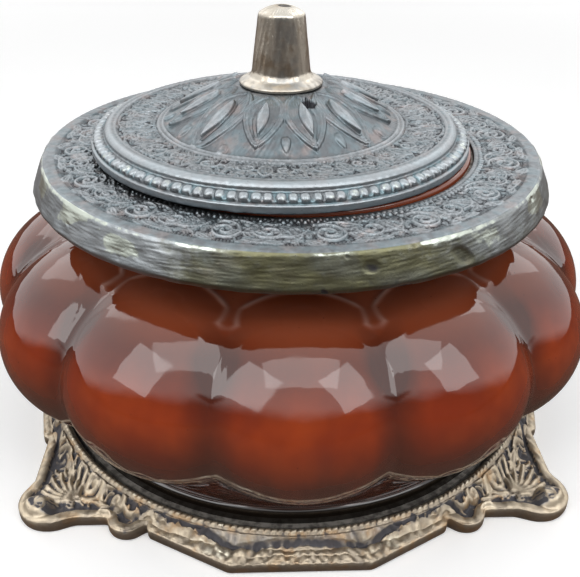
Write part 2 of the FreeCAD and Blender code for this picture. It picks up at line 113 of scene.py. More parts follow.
@dataclass
class Skin:
    """A surface as a grid of points, rows down its profile and columns round the axis, with named fields."""

    points: np.ndarray
    fields: dict[str, np.ndarray] = field(default_factory=dict)
    closed: bool = True

    def build(self, name: str) -> bpy.types.Object:
        """Makes the object, in metres, with quads between the points and one float attribute per field.

        Args:
            name: the new object's name.

        Returns:
            The mesh object, linked to the scene.
        """
        rows, columns = self.points.shape[:2]
        index = np.arange(rows * columns).reshape(rows, columns)
        below = np.roll(index, -1, axis=0) if self.closed else index[1:]
        above = index if self.closed else index[:-1]
        quads = np.stack([above, below, np.roll(below, -1, axis=1), np.roll(above, -1, axis=1)], axis=-1)
        points, quads = self.points.reshape(-1, 3), quads.reshape(-1, 4)
        corners, starts = quads.ravel(), np.arange(0, 4 * len(quads), 4)
        values = {key: value.ravel() for key, value in self.fields.items()}
        if not self.closed:
            points, corners, starts, values = self.with_poles(points, index, corners, values)
        mesh = bpy.data.meshes.new(name)
        mesh.vertices.add(len(points))
        mesh.vertices.foreach_set("co", (points * MM).ravel())
        mesh.loops.add(len(corners))
        mesh.loops.foreach_set("vertex_index", corners.astype(np.int32))
        mesh.polygons.add(len(starts))
        mesh.polygons.foreach_set("loop_start", starts.astype(np.int32))
        mesh.polygons.foreach_set("use_smooth", np.ones(len(starts), bool))
        for key, value in values.items():
            attribute = mesh.attributes.new(key, "FLOAT", "POINT")
            attribute.data.foreach_set("value", value.astype(np.float32))
        mesh.update(calc_edges=True)
        mesh.validate()
        piece = bpy.data.objects.new(name, mesh)
        bpy.context.scene.collection.objects.link(piece)
        return piece

    def with_poles(
        self, points: np.ndarray, index: np.ndarray, corners: np.ndarray, values: dict[str, np.ndarray]
    ) -> tuple[np.ndarray, np.ndarray, np.ndarray, dict[str, np.ndarray]]:
        """Closes both open ends of the grid with a fan of triangles about a point on the axis.

        Args:
            points: the grid's points as one list.
            index: the grid's point numbers, rows by columns.
            corners: the quads' point numbers as one list.
            values: the fields as one list each.

        Returns:
            The points, corners, face starts and fields with the two fans added.
        """
        count = len(points)
        first, last = index[0], index[-1]
        top = np.stack([np.full(len(first), count), first, np.roll(first, -1)], axis=-1)
        bottom = np.stack([last, np.full(len(last), count + 1), np.roll(last, -1)], axis=-1)
        poles = np.stack([points[first].mean(0), points[last].mean(0)])
        fans = np.concatenate([top.ravel(), bottom.ravel()])
        starts = np.concatenate(
            [np.arange(0, len(corners), 4), len(corners) + np.arange(0, len(fans), 3)]
        )
        closed = {
            key: np.concatenate([value, [value[first].mean(), value[last].mean()]])
            for key, value in values.items()
        }
        return np.concatenate([points, poles]), np.concatenate([corners, fans]), starts, closed


@dataclass(frozen=True)
class Profile:
    """A turned profile: (radius, height) corners in millimetres, walked at an even step and softened."""

    corners: tuple[tuple[float, float], ...]
    step: float = 0.25
    soften: float = 0.3
    closed: bool = True

    def walk(self) -> np.ndarray:
        """The profile's points at about the step, with every corner eased as a casting's are."""
        ring = np.array(self.corners, float)
        if self.closed:
            ring = np.concatenate([ring, ring[:1]])
        lengths = np.hypot(*np.diff(ring, axis=0).T)
        along = np.concatenate([[0], np.cumsum(lengths)])
        count = max(8, round(along[-1] / self.step))
        places = np.linspace(0, along[-1], count, endpoint=not self.closed)
        points = np.stack([np.interp(places, along, ring[:, i]) for i in range(2)], axis=-1)
        reach = max(1, round(self.soften / self.step * 2))
        kernel = np.hanning(2 * reach + 3)[1:-1]
        kernel /= kernel.sum()
        mode = "wrap" if self.closed else "edge"
        padded = np.pad(points, ((reach, reach), (0, 0)), mode=mode)
        return np.stack([np.convolve(padded[:, i], kernel, mode="valid") for i in range(2)], axis=-1)


def profile_normals(points: np.ndarray, closed: bool) -> np.ndarray:
    """Unit normals, to the left of the way along a profile's points."""
    if closed:
        along = np.roll(points, -1, axis=0) - np.roll(points, 1, axis=0)
    else:
        along = np.gradient(points, axis=0)
    normal = np.stack([-along[:, 1], along[:, 0]], axis=-1)
    return normal / np.maximum(np.linalg.norm(normal, axis=1, keepdims=True), 1e-9)


@dataclass(frozen=True)
class Stroke:
    """One raised line of a chased pattern: a polyline with a half width and a height, in millimetres."""

    line: np.ndarray
    half_width: float
    height: float

    def distance(self, u: np.ndarray, v: np.ndarray) -> np.ndarray:
        """The distance from every place (u, v) to the line."""
        nearest = np.full(u.shape, np.inf)
        for (u0, v0), (u1, v1) in zip(self.line[:-1], self.line[1:]):
            du, dv = u1 - u0, v1 - v0
            t = np.clip(((u - u0) * du + (v - v0) * dv) / max(du * du + dv * dv, 1e-12), 0, 1)
            nearest = np.minimum(nearest, (u - u0 - t * du) ** 2 + (v - v0 - t * dv) ** 2)
        return np.sqrt(nearest)


def bow(start: tuple[float, float], end: tuple[float, float], bend: float, count: int = 9) -> np.ndarray:
    """A bowed line. bend is how far its middle stands to the left, as a share of its length."""
    a, b = np.array(start, float), np.array(end, float)
    t = np.linspace(0, 1, count)[:, None]
    left = np.array([a[1] - b[1], b[0] - a[0]])
    return a + (b - a) * t + left * bend * 4 * t * (1 - t)


def volute(
    centre: tuple[float, float], radius: float, start: float, turns: float, hand: int, count: int = 34
) -> np.ndarray:
    """A spiral that winds in from radius at the start angle, in degrees. hand is +1 anticlockwise or -1."""
    t = np.linspace(0, 1, count)
    angle = math.radians(start) + hand * turns * TURN * t
    reach = radius * (1 - 0.86 * t**0.85)
    return np.stack([centre[0] + reach * np.cos(angle), centre[1] + reach * np.sin(angle)], axis=-1)


def leaf(
    root: tuple[float, float], tip: tuple[float, float], width: float, bend: float, ribs: int
) -> list[Stroke]:
    """A pointed leaf: two bowed edges, a midrib, and short slanting veins on each side of it.

    Args:
        root: where the leaf grows from.
        tip: its point.
        width: its full width.
        bend: the bow of its midrib, as a share of its length.
        ribs: how many veins lie on each side.

    Returns:
        The leaf's strokes.
    """
    length = math.dist(root, tip)
    half = width / 2 / length
    edges = [Stroke(bow(root, tip, bend + side * half), 0.24, 0.8) for side in (1, -1)]
    spine = bow(root, tip, bend)
    left, right = bow(root, tip, bend + half * 0.8), bow(root, tip, bend - half * 0.8)
    veins = []
    for i in range(ribs):
        at = 1 + round(i * (len(spine) - 3) / max(ribs, 1))
        for edge in (left, right):
            veins.append(Stroke(np.stack([spine[at], edge[at + 1]]), 0.13, 0.55))
    return [*edges, Stroke(spine, 0.2, 0.75), *veins]


def line_strokes(*rows: tuple[np.ndarray, float, float]) -> list[Stroke]:
    """One stroke per row of line, half width and height."""
    return [Stroke(*row) for row in rows]


def leaves(*rows: tuple[tuple[float, float], tuple[float, float], float, float, int]) -> list[Stroke]:
    """The strokes of several leaves, one per row of root, tip, width, bend and ribs."""
    return [stroke for row in rows for stroke in leaf(*row)]


def sprigs(
    seed: int, count: int, wide: float, low: float, top: float, size: float, height: float
) -> list[Stroke]:
    """Small hooked curls strewn evenly over a cell, the leafy filling between a pattern's larger figures.

    Args:
        seed: where the draw starts.
        count: how many curls.
        wide: the cell's length.
        low: the lowest place.
        top: the highest place.
        size: a curl's length.
        height: a curl's height.

    Returns:
        The curls.
    """
    draw = np.random.default_rng(seed)
    curls = []
    for i in range(count):
        at = np.array([wide * (i + draw.uniform()) / count, draw.uniform(low, top)])
        turn, long = draw.uniform(0, TURN), size * draw.uniform(0.7, 1.2)
        end = at + long * np.array([math.cos(turn), math.sin(turn)])
        end[1] = min(max(end[1], low), top)
        line = bow(tuple(at), tuple(end), draw.choice([-0.3, 0.3]), 6)
        curls.append(Stroke(line, draw.uniform(0.15, 0.22), height))
    return curls


class Chasing:
    """A chased pattern in a rectangular cell, held as a height map and read anywhere in the cell."""

    def __init__(self, wide: float, high: float, strokes: list[Stroke], grain: float = 0.06) -> None:
        """Works the strokes into the cell.

        Args:
            wide: the cell's length, over which it repeats.
            high: the cell's height, which doesn't repeat.
            strokes: the pattern's raised lines.
            grain: the height map's step.
        """
        self.wide, self.high = wide, high
        self.columns, self.rows = round(wide / grain), max(2, round(high / grain))
        u, v = np.meshgrid(np.arange(self.columns) * wide / self.columns, np.linspace(0, high, self.rows))
        height = np.zeros(u.shape)
        for stroke in strokes:
            for shift in (-wide, 0.0, wide):
                line = stroke.line + np.array([shift, 0.0])
                low, top = line.min(0) - 1.0, line.max(0) + 1.0
                if top[0] < 0 or low[0] > wide:
                    continue
                near = (u > low[0]) & (u < top[0]) & (v > low[1]) & (v < top[1])
                distance = Stroke(line, stroke.half_width, stroke.height).distance(u[near], v[near])
                ridge = stroke.height * half_round(distance, stroke.half_width)
                cut = -0.45 * np.exp(-(((distance - stroke.half_width - 0.14) / 0.12) ** 2))
                here = height[near]
                inside = distance < stroke.half_width
                beside = np.where(here > 0, here, np.minimum(here, cut))
                height[near] = np.where(inside, np.maximum(here, ridge), beside)
        self.map = height

    def at(self, u: np.ndarray, v: np.ndarray) -> np.ndarray:
        """The height, about -0.45 to 1, at places of the cell. u wraps and v stops at the cell's edges."""
        x = (u / self.wide % 1.0) * self.columns
        y = np.clip(v / self.high, 0, 1) * (self.rows - 1)
        x0, y0 = np.floor(x).astype(int), np.minimum(np.floor(y).astype(int), self.rows - 2)
        fx, fy = x - x0, y - y0
        x0 = x0 % self.columns
        x1 = (x0 + 1) % self.columns
        m = self.map
        low = m[y0, x0] * (1 - fx) + m[y0, x1] * fx
        top = m[y0 + 1, x0] * (1 - fx) + m[y0 + 1, x1] * fx
        return low * (1 - fy) + top * fy


# ---------------------------------------------------------------- shader language


class Shade:
    """A value on a surface: one output socket of a node tree, with arithmetic that adds Math nodes."""

    def __init__(self, desk: "Desk", socket: bpy.types.NodeSocket) -> None:
        """Wraps a socket of the desk's tree."""
        self.desk, self.socket = desk, socket

    def math(self, operation: str, *others: "Shade | float", clamp: bool = False) -> "Shade":
        """A Math node on this value and the others."""
        values = dict(enumerate((self, *others)))
        node = self.desk.node("ShaderNodeMath", {"operation": operation, "use_clamp": clamp}, values)
        return Shade(self.desk, node.outputs[0])

    def __add__(self, other: "Shade | float") -> "Shade":
        """The sum."""
        return self.math("ADD", other)

    __radd__ = __add__

    def __mul__(self, other: "Shade | float") -> "Shade":
        """The product."""
        return self.math("MULTIPLY", other)

    __rmul__ = __mul__

    def __sub__(self, other: "Shade | float") -> "Shade":
        """The difference."""
        return self.math("SUBTRACT", other)

    def __rsub__(self, other: float) -> "Shade":
        """A number less this value."""
        node = self.desk.node("ShaderNodeMath", {"operation": "SUBTRACT"}, {0: other, 1: self})
        return Shade(self.desk, node.outputs[0])

    def clamp(self) -> "Shade":
        """This value held within 0 and 1."""
        return self.math("ADD", 0.0, clamp=True)

    def step(self, low: float, high: float) -> "Shade":
        """A soft step from 0 at low to 1 at high. With low above high it falls instead."""
        node = self.desk.node(
            "ShaderNodeMapRange", {"interpolation_type": "SMOOTHSTEP"}, {0: self, 1: low, 2: high}
        )
        return Shade(self.desk, node.outputs[0])


Colour = tuple[float, float, float]


class Desk:
    """A material's node tree with one Principled shader, and the few ways this file adds nodes to it."""

    def __init__(self, name: str) -> None:
        """Starts an empty material with a Principled shader on its output."""
        self.material = bpy.data.materials.new(name)
        self.material.use_nodes = True
        self.tree = self.material.node_tree
        self.tree.nodes.clear()
        self.shader = self.node("ShaderNodeBsdfPrincipled")
        self.node("ShaderNodeOutputMaterial", values={"Surface": self.shader.outputs[0]})

    def node(
        self,
        kind: str,
        settings: dict[str, object] | None = None,
        values: dict[str | int, object] | None = None,
    ) -> bpy.types.Node:
        """Adds a node.

        Args:
            kind: the node's type.
            settings: its properties, set first.
            values: what goes into its sockets, by name or number: a Shade, a socket, a number or a colour.

        Returns:
            The new node.
        """
        node = self.tree.nodes.new(kind)
        for key, value in (settings or {}).items():
            setattr(node, key, value)
        for key, value in (values or {}).items():
            self.put(node.inputs[key], value)
        return node

    def put(self, socket: bpy.types.NodeSocket, value: object) -> None:
        """Links a Shade or socket to a socket, or sets a number or colour on it."""
        if isinstance(value, Shade):
            value = value.socket
        if isinstance(value, bpy.types.NodeSocket):
            self.tree.links.new(value, socket)
        elif isinstance(value, tuple) and len(value) == 3 and socket.type == "RGBA":
            socket.default_value = (*value, 1.0)
        else:
            socket.default_value = value

    def surface(self, **values: object) -> None:
        """Puts values into the Principled shader's sockets, named with _ for a blank."""
        for key, value in values.items():
            self.put(self.shader.inputs[key.replace("_", " ")], value)

    def attribute(self, name: str) -> Shade:
        """A field that was worked into the mesh."""
        return Shade(self, self.node("ShaderNodeAttribute", {"attribute_name": name}).outputs["Fac"])

    def place(self, stretch: Colour = (1.0, 1.0, 1.0)) -> bpy.types.NodeSocket:
        """The place on the object in its own frame, stretched along each axis."""
        where = self.node("ShaderNodeTexCoord").outputs["Object"]
        return self.node("ShaderNodeMapping", values={"Vector": where, "Scale": stretch}).outputs[0]

    def noise(self, scale: float, detail: float = 3.0, stretch: Colour = (1.0, 1.0, 1.0)) -> Shade:
        """Cloudy noise about 0.5, with scale in periods per metre."""
        values = {"Vector": self.place(stretch), "Scale": scale, "Detail": detail, "Roughness": NOISE_ROUGH}
        return Shade(self, self.node("ShaderNodeTexNoise", values=values).outputs["Fac"])

    def specks(self, scale: float) -> Shade:
        """The distance to scattered points, 0 at each, with scale in points per metre."""
        node = self.node("ShaderNodeTexVoronoi", values={"Vector": self.place(), "Scale": scale})
        return Shade(self, node.outputs["Distance"])

    def blend(self, amount: "Shade | float", under: object, over: object) -> bpy.types.NodeSocket:
        """Two colours mixed: under where the amount is 0, over where it is 1."""
        node = self.node("ShaderNodeMix", {"data_type": "RGBA"}, {0: amount, 6: under, 7: over})
        return node.outputs[2]

    def bump(self, height: Shade, depth: float) -> bpy.types.NodeSocket:
        """A normal bent by a height of 0 to 1 that stands for the depth, in millimetres."""
        node = self.node("ShaderNodeBump", values={"Height": height, "Distance": depth * MM, "Strength": 1.0})
        return node.outputs[0]


# ---------------------------------------------------------------- finishes


@dataclass(frozen=True)
class CastMetal:
    """Cast and chased metal with tarnish in its recesses and worn high places, plus painted highlights and
    dark reflections.

    The meshes carry these fields: relief, 0 in the recesses and 1 on the crests, which on the collar and lid
    also carries painted shade and highlight, wear, 1 where it is rubbed bright or has a painted highlight,
    tint, 1 where it has turned blue-green, and mirrored_dark, 1 where it has a painted dark, yellowish
    reflection.
    """

    name: str
    recess: Colour
    body: Colour
    crest: Colour
    worn: Colour
    tint_cool: Colour
    tint_warm: Colour
    # the colour of a painted dark, yellowish reflection of the surroundings
    mirrored_dark_colour: Colour = (0.15, 0.145, 0.080)
    roughness: float = 0.42
    grain: float = 0.05

    def make(self) -> bpy.types.Material:
        """The material."""
        desk = Desk(self.name)
        relief, wear, tint = desk.attribute("relief"), desk.attribute("wear"), desk.attribute("tint")
        broad, fine = desk.noise(90.0, 4.0), desk.noise(900.0, 4.0)
        grit = desk.noise(2600.0, 3.0)
        crest = (relief + (fine - 0.5) * 0.5).step(0.45, 0.95)
        recess = (relief + (fine - 0.5) * 0.45 + (broad - 0.5) * 0.3).step(0.42, 0.08)
        colour = desk.blend(broad.step(0.35, 0.68), self.body, tuple(c * 0.72 for c in self.body))
        colour = desk.blend((desk.noise(260.0, 3.0).step(0.5, 0.66) * 0.55).clamp(), colour, self.tint_warm)
        colour = desk.blend((tint * desk.noise(340.0, 2.0).step(0.42, 0.6)).clamp(), colour, self.tint_cool)
        # painted dark reflection of the surroundings, from its field
        mirrored_dark_mask = desk.attribute("mirrored_dark") * (0.75 + 0.5 * desk.noise(300.0, 3.0))
        colour = desk.blend(mirrored_dark_mask.clamp(), colour, self.mirrored_dark_colour)
        colour = desk.blend(crest * 0.8, colour, self.crest)
        # rubbed bright places and painted highlights, both carried by the wear field
        wear_and_highlight = (wear + (desk.noise(620.0, 5.0) - 0.5) * 1.1).step(0.52, 0.78)
        colour = desk.blend(wear_and_highlight, colour, self.worn)
        pits = desk.specks(1500.0).step(0.16, 0.05) * fine.step(0.5, 0.62)
        colour = desk.blend((recess * 0.94).clamp(), colour, self.recess)
        colour = desk.blend((pits * 0.8).clamp(), colour, self.recess)
        rough = 0.16 * recess + 0.14 * (grit - 0.5) + self.roughness - 0.1 * wear_and_highlight + 0.12 * (broad - 0.5)
        height = 0.55 * grit + 0.45 * fine - 0.5 * pits
        desk.surface(
            Base_Color=colour,
            Metallic=(1.0 - 0.55 * recess).clamp(),
            Roughness=rough.clamp(),
            Normal=desk.bump(height, self.grain),
        )
        return desk.material


@dataclass(frozen=True)
class AmberGlass:
    """Thick, deep amber glass, with painted shade in its valleys, on its lobe tops, neck, inside and
    underside, and a painted dark foot.

    The mesh carries these fields: lobe_shade, 1 along the valleys between lobes and on the lobe tops, painted
    shade, neck, 1 near the neck and inside, painted shade, foot, 1 at the foot, painted dark, under_shade, 1
    under the lobes, painted shade, and seam_and_highlight, 1 on the raised seam on top, which carries a
    painted highlight.
    """

    name: str = "amber_glass"
    body: Colour = (0.26, 0.028, 0.0045)
    bright: Colour = (0.39, 0.052, 0.007)
    deep: Colour = (0.060, 0.012, 0.006)
    # the painted near-black of the foot
    dark: Colour = (0.014, 0.010, 0.007)
    # the colour of the painted shade under the lobes
    under_shade_colour: Colour = (0.050, 0.022, 0.016)
    # the colour of the painted shade under the collar
    shaded: Colour = (0.24, 0.055, 0.022)
    # the colour of the painted highlight on the seam
    seam_and_highlight: Colour = (0.46, 0.30, 0.25)

    def make(self) -> bpy.types.Material:
        """The material."""
        desk = Desk(self.name)
        lobe_shade, neck, foot = (desk.attribute(key) for key in ("lobe_shade", "neck", "foot"))
        cloud, swirl = desk.noise(60.0, 3.0), desk.noise(150.0, 4.0, stretch=(1.0, 1.0, 0.45))
        colour = desk.blend(cloud.step(0.38, 0.64), self.body, self.bright)
        # painted shade: the valleys between lobes, and the lobe tops under the collar, darkened towards the
        # deep colour
        colour = desk.blend((lobe_shade * 0.62 + (swirl - 0.5) * 0.35).clamp(), colour, self.deep)
        # painted shade under the lobes, towards a greyish dark brown
        colour = desk.blend((desk.attribute("under_shade") * (0.75 + 0.4 * swirl)).clamp(), colour, self.under_shade_colour)
        # painted shade of the collar on the shoulder and neck, and on the inside
        colour = desk.blend((neck * 0.9).clamp(), colour, self.shaded)
        # painted highlight along the raised seam on top
        colour = desk.blend((desk.attribute("seam_and_highlight") * (0.1 + 0.9 * swirl)).clamp(), colour, self.seam_and_highlight)
        # the clear foot painted near-black for the dark cement and metal it mirrors and shows, and the shade
        # under it
        colour = desk.blend(foot.clamp(), colour, self.dark)
        bubbles = desk.specks(420.0).step(0.075, 0.03) * swirl.step(0.47, 0.56)
        colour = desk.blend((bubbles * 0.75).clamp(), colour, self.deep)
        seeds = desk.specks(260.0).step(0.05, 0.02) * cloud.step(0.5, 0.57)
        wave = 0.7 * desk.noise(120.0, 2.0) + 0.3 * desk.noise(30.0, 1.0) + 0.05 * seeds
        desk.surface(
            Base_Color=colour,
            Roughness=(0.05 + 0.09 * swirl.step(0.5, 0.75) + 0.25 * seeds).clamp(),
            Specular_IOR_Level=0.7,
            IOR=1.52,
            Normal=desk.bump(wave, 0.22),
        )
        return desk.material


@dataclass(frozen=True)
class Plaster:
    """The grey setting cement under the glass foot and round its neck."""

    name: str = "setting_cement"
    light: Colour = (0.30, 0.28, 0.25)
    dark: Colour = (0.10, 0.09, 0.08)

    def make(self) -> bpy.types.Material:
        """The material."""
        desk = Desk(self.name)
        lumps = desk.noise(700.0, 6.0)
        desk.surface(
            Base_Color=desk.blend(lumps.step(0.35, 0.62), self.dark, self.light),
            Roughness=(0.8 + 0.2 * lumps).clamp(),
            Normal=desk.bump(lumps, 0.2),
        )
        return desk.material


@dataclass(frozen=True)
class TurnedSteel:
    """Plain steel with fine turning marks and a little dullness."""

    name: str = "turned_steel"
    light: Colour = (0.50, 0.49, 0.47)
    dull: Colour = (0.16, 0.14, 0.12)

    def make(self) -> bpy.types.Material:
        """The material."""
        desk = Desk(self.name)
        marks, stain = desk.noise(2200.0, 3.0, stretch=(1.0, 1.0, 4.0)), desk.noise(500.0, 4.0)
        desk.surface(
            Base_Color=desk.blend(stain.step(0.45, 0.7), self.light, self.dull),
            Metallic=1.0,
            Roughness=(0.25 + 0.25 * marks).clamp(),
            Normal=desk.bump(marks, 0.03),
        )
        return desk.material


PEWTER = CastMetal(
    name="antique_white_metal",
    recess=(0.012, 0.011, 0.016),
    body=(0.165, 0.178, 0.190),
    crest=(0.34, 0.365, 0.385),
    worn=(0.52, 0.56, 0.50),
    tint_cool=(0.17, 0.25, 0.28),
    tint_warm=(0.27, 0.225, 0.215),
)
BRASS = CastMetal(
    name="antique_brass",
    recess=(0.072, 0.071, 0.084),
    body=(0.42, 0.36, 0.285),
    crest=(0.60, 0.515, 0.39),
    worn=(0.76, 0.71, 0.58),
    tint_cool=(0.42, 0.42, 0.43),
    tint_warm=(0.46, 0.285, 0.135),
    roughness=0.56,
    grain=0.11,
)
PEG_METAL = CastMetal(
    name="knob_metal",
    recess=(0.05, 0.045, 0.04),
    body=(0.62, 0.565, 0.48),
    crest=(0.78, 0.73, 0.63),
    worn=(0.56, 0.53, 0.47),
    tint_cool=(0.34, 0.34, 0.33),
    tint_warm=(0.26, 0.17, 0.09),
    roughness=0.34,
)


# ---------------------------------------------------------------- sub-assemblies


class Part(Enum):
    """The frame's bodies."""

    JAR = "jar"
    LID = "lid"


def dress(piece: bpy.types.Object, material: bpy.types.Material, part: Part, node: str) -> None:
    """Gives a new piece its material and its place in the frame.

    Args:
        piece: the new mesh object.
        material: its finish.
        part: the body that it moves with.
        node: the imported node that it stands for.
    """
    piece.data.materials.append(material)
    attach(piece, part.value)
    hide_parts(node)
    log.info("%s: %d faces, for %s", piece.name, len(piece.data.polygons), node)


def refinish(node: str, material: bpy.types.Material) -> None:
    """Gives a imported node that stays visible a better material."""
    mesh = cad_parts[node].data
    mesh.materials.clear()
    mesh.materials.append(material)
    log.info("%s keeps its packed shape, in %s", node, material.name)


@dataclass
class Turned:
    """A turned and chased casting about an upright axis: its profile is displaced along its own normals."""

    columns: int
    axis_x: float
    profile: Profile

    def grid(self) -> tuple[np.ndarray, np.ndarray, np.ndarray, np.ndarray]:
        """The grid's azimuth, and each row's profile point and outward normal, as columns of rows."""
        points = self.profile.walk()
        normals = profile_normals(points, self.profile.closed)
        azimuth = np.arange(self.columns) * TURN / self.columns
        return azimuth[None, :], points[:, 0:1], points[:, 1:2], normals

    def skin(
        self, azimuth: np.ndarray, radius: np.ndarray, height: np.ndarray, fields: dict[str, np.ndarray]
    ) -> Skin:
        """The surface through a radius and a height at every row and column."""
        azimuth, radius, height = np.broadcast_arrays(azimuth, radius, height)
        points = around_axis(azimuth, radius, height)
        points[..., 0] += self.axis_x
        full = {key: np.broadcast_to(value, radius.shape) for key, value in fields.items()}
        return Skin(points, full, self.profile.closed)


@dataclass
class Lid:
    """The cast lid: lotus dome, hoop, chased band, rolled ridge, beaded row and lipped flange."""

    seat_z: float
    axis_x: float
    columns: int = 1500
    apex_radius: float = 8.25
    apex_rise: float = 11.0
    screw_hole: float = 1.7
    thick: float = 2.2
    dome_mid: tuple[float, float] = (15.6, 8.2)
    dome_foot: tuple[float, float] = (21.8, 4.2)
    band_in: tuple[float, float] = (24.1, 3.8)
    band_out: tuple[float, float] = (31.6, 3.95)
    ridge: tuple[float, float] = (32.9, 4.4)
    ridge_foot: tuple[float, float] = (34.2, 3.1)
    bead_middle: float = 35.15
    bead_half: float = 0.9
    bead_count: int = 112
    flange: tuple[float, float] = (36.4, 1.7)
    spigot: tuple[float, float] = (29.7, 27.7)
    spigot_deep: float = 3.0
    petals: int = 12
    petal_root: float = 8.6
    petal_tip: float = 22.0
    petal_half: float = 4.1
    vent: tuple[float, float] = (4.8, -10.2)
    vent_radius: float = 1.35
    hoops: tuple[float, ...] = (22.8, 23.7, 31.9)
    band_cells: int = 13
    band_middle: float = 27.9
    # the side towards the light, where the lip and the outer tint take painted highlight
    highlight_side: float = -62.0
    band_starts: tuple[float, float] = (23.9, 24.3)
    band_ends: tuple[float, float] = (31.3, 31.8)
    dome_starts: tuple[float, float] = (8.3, 8.8)
    dome_ends: tuple[float, float] = (22.4, 22.8)
    plain_starts: tuple[float, float] = (32.2, 32.8)
    tarnish_starts: tuple[float, float] = (32.0, 32.6)
    lip_starts: tuple[float, float] = (36.0, 36.35)
    # the radius of a painted highlight line on the ridge's outer slope
    highlight_line: float = 33.5

    def outline(self) -> Profile:
        """The lid's closed section, from the screw hole out over the top and back underneath."""
        hole, apex, t = self.screw_hole, self.apex_rise, self.thick
        bead, deep = self.bead_middle, self.spigot_deep
        (ridge, ridge_up), (edge, edge_up), (outer, inner) = self.ridge, self.flange, self.spigot
        rises = (
            (hole, apex), (self.apex_radius, apex), (12.0, 9.8), self.dome_mid, (18.7, 6.35), self.dome_foot,
            self.band_in, self.band_out, (ridge - 0.7, ridge_up - 0.1), self.ridge,
            (ridge + 0.75, ridge_up - 0.45), self.ridge_foot, (bead - 0.6, 2.75), (bead + 0.6, 2.3),
            self.flange, (edge + 0.1, edge_up - 0.4), (edge + 0.1, 0.35), (edge - 0.4, 0.05),
            (outer, 0.05), (outer, -deep), (inner, -deep), (inner, self.band_out[1] - t),
            (self.band_in[0] - 1.0, self.band_in[1] - t), (self.dome_mid[0] - 1.0, self.dome_mid[1] - t),
            (self.apex_radius - 1.0, apex - t), (hole, apex - t),
        )
        return Profile(tuple((radius, self.seat_z + rise) for radius, rise in rises), step=0.22, soften=0.22)

    def band_pattern(self) -> Chasing:
        """The lid band's repeat: a flower with leaves, and a volute on each side."""
        high = self.band_out[0] - self.band_in[0] + 0.4
        wide = TURN * self.band_middle / self.band_cells
        mid = wide / 2
        strokes = line_strokes(
            (volute((mid - 3.2, 3.0), 1.9, 200, 1.35, -1), 0.27, 0.9),
            (volute((mid + 3.2, 3.0), 1.9, -20, 1.35, 1), 0.27, 0.9),
            (bow((mid - 5.0, 2.4), (mid - 6.6, 6.4), 0.25), 0.26, 0.8),
            (bow((mid + 5.0, 2.4), (mid + 6.6, 6.4), -0.25), 0.26, 0.8),
            (bow((mid - 5.2, 6.2), (mid + 5.2, 6.2), 0.12), 0.22, 0.7),
        )
        strokes += leaves(
            ((mid, 0.9), (mid, 6.1), 2.4, 0.0, 4), ((mid - 1.2, 5.6), (mid - 4.7, 5.4), 1.3, 0.12, 3),
            ((mid + 1.2, 5.6), (mid + 4.7, 5.4), 1.3, -0.12, 3),
            ((mid - 6.3, 0.6), (mid - 6.2, 3.6), 1.4, 0.1, 3),
        )
        strokes += sprigs(43, 90, wide, 0.5, high - 0.4, 1.5, 0.7)
        dots = np.arange(0.4, wide, 0.9)
        strokes += [Stroke(np.array([(x, 0.55), (x + 0.01, 0.6)]), 0.26, 0.7) for x in dots]
        return Chasing(wide, high, strokes)

    def petal_relief(self, azimuth: np.ndarray, radius: np.ndarray) -> tuple[np.ndarray, np.ndarray]:
        """The lotus of pointed, almond-filled petals: (height in millimetres, painted highlight on the tips
        and almonds).
        """
        pitch = TURN / self.petals
        bump, petal_highlight = np.zeros(np.broadcast(azimuth, radius).shape), 0.0
        draw = np.random.default_rng(41)
        for k in range(self.petals):
            lean, size = draw.uniform(-0.02, 0.02), draw.uniform(0.93, 1.05)
            off = turned_from(azimuth, (k + 0.5) * pitch + lean)
            t = (radius - self.petal_root) / (self.petal_tip * size - self.petal_root)
            inside = (t > -0.05) & (t < 1.02) & (np.abs(off) < pitch)
            x = radius * np.sin(off)
            t = np.clip(t, 0, 1)
            half = self.petal_half * size * np.sin(math.pi * t**0.86) ** 0.7
            half = np.maximum(half, 0.05)
            inner = half - 0.95
            rim = 0.55 * half_round(np.abs(x) - half + 0.36, 0.36)
            rim = rim + 0.45 * half_round(np.abs(x) - inner, 0.3) * (inner > 0.3)
            swell = 0.35 * half_round(x, half) * smooth_step(0, 0.15, t)
            core = np.maximum(0.31 * half * np.sin(math.pi * np.clip((t - 0.24) / 0.58, 0, 1)) ** 0.6, 0.03)
            almond = 1.25 * half_round(x, core) * (t > 0.24) * (t < 0.82)
            hand = 1 if k % 2 else -1
            slit = 0.9 * half_round(x * hand - core - 0.3, 0.34) * (t > 0.22) * (t < 0.84)
            keel = 0.4 * half_round(x, 0.4) * smooth_step(0.8, 0.88, t)
            petal = rim + swell + almond - slit + keel
            bump = np.where(inside & (np.abs(x) < half + 0.05), np.maximum(bump, petal), bump)
            # painted highlight on the petal tips and on the almonds' lower parts
            lit = 0.8 * smooth_step(0.84, 0.97, t) * (np.abs(x) < half)
            petal_highlight = petal_highlight + inside * (lit + 0.9 * (almond > 0.7) * smooth_step(0.5, 0.65, t))
            drop_off = turned_from(azimuth, (k + 1.0) * pitch + lean)
            dx, dr = radius * np.sin(drop_off), radius - 21.0 * size
            drop = 0.9 * half_round(np.hypot(dx / (0.85 - 0.22 * np.clip(dr, -1.5, 1.5)), dr / 1.5), 1.0)
            bump = np.maximum(bump, drop * (np.abs(drop_off) < pitch))
        return bump, petal_highlight

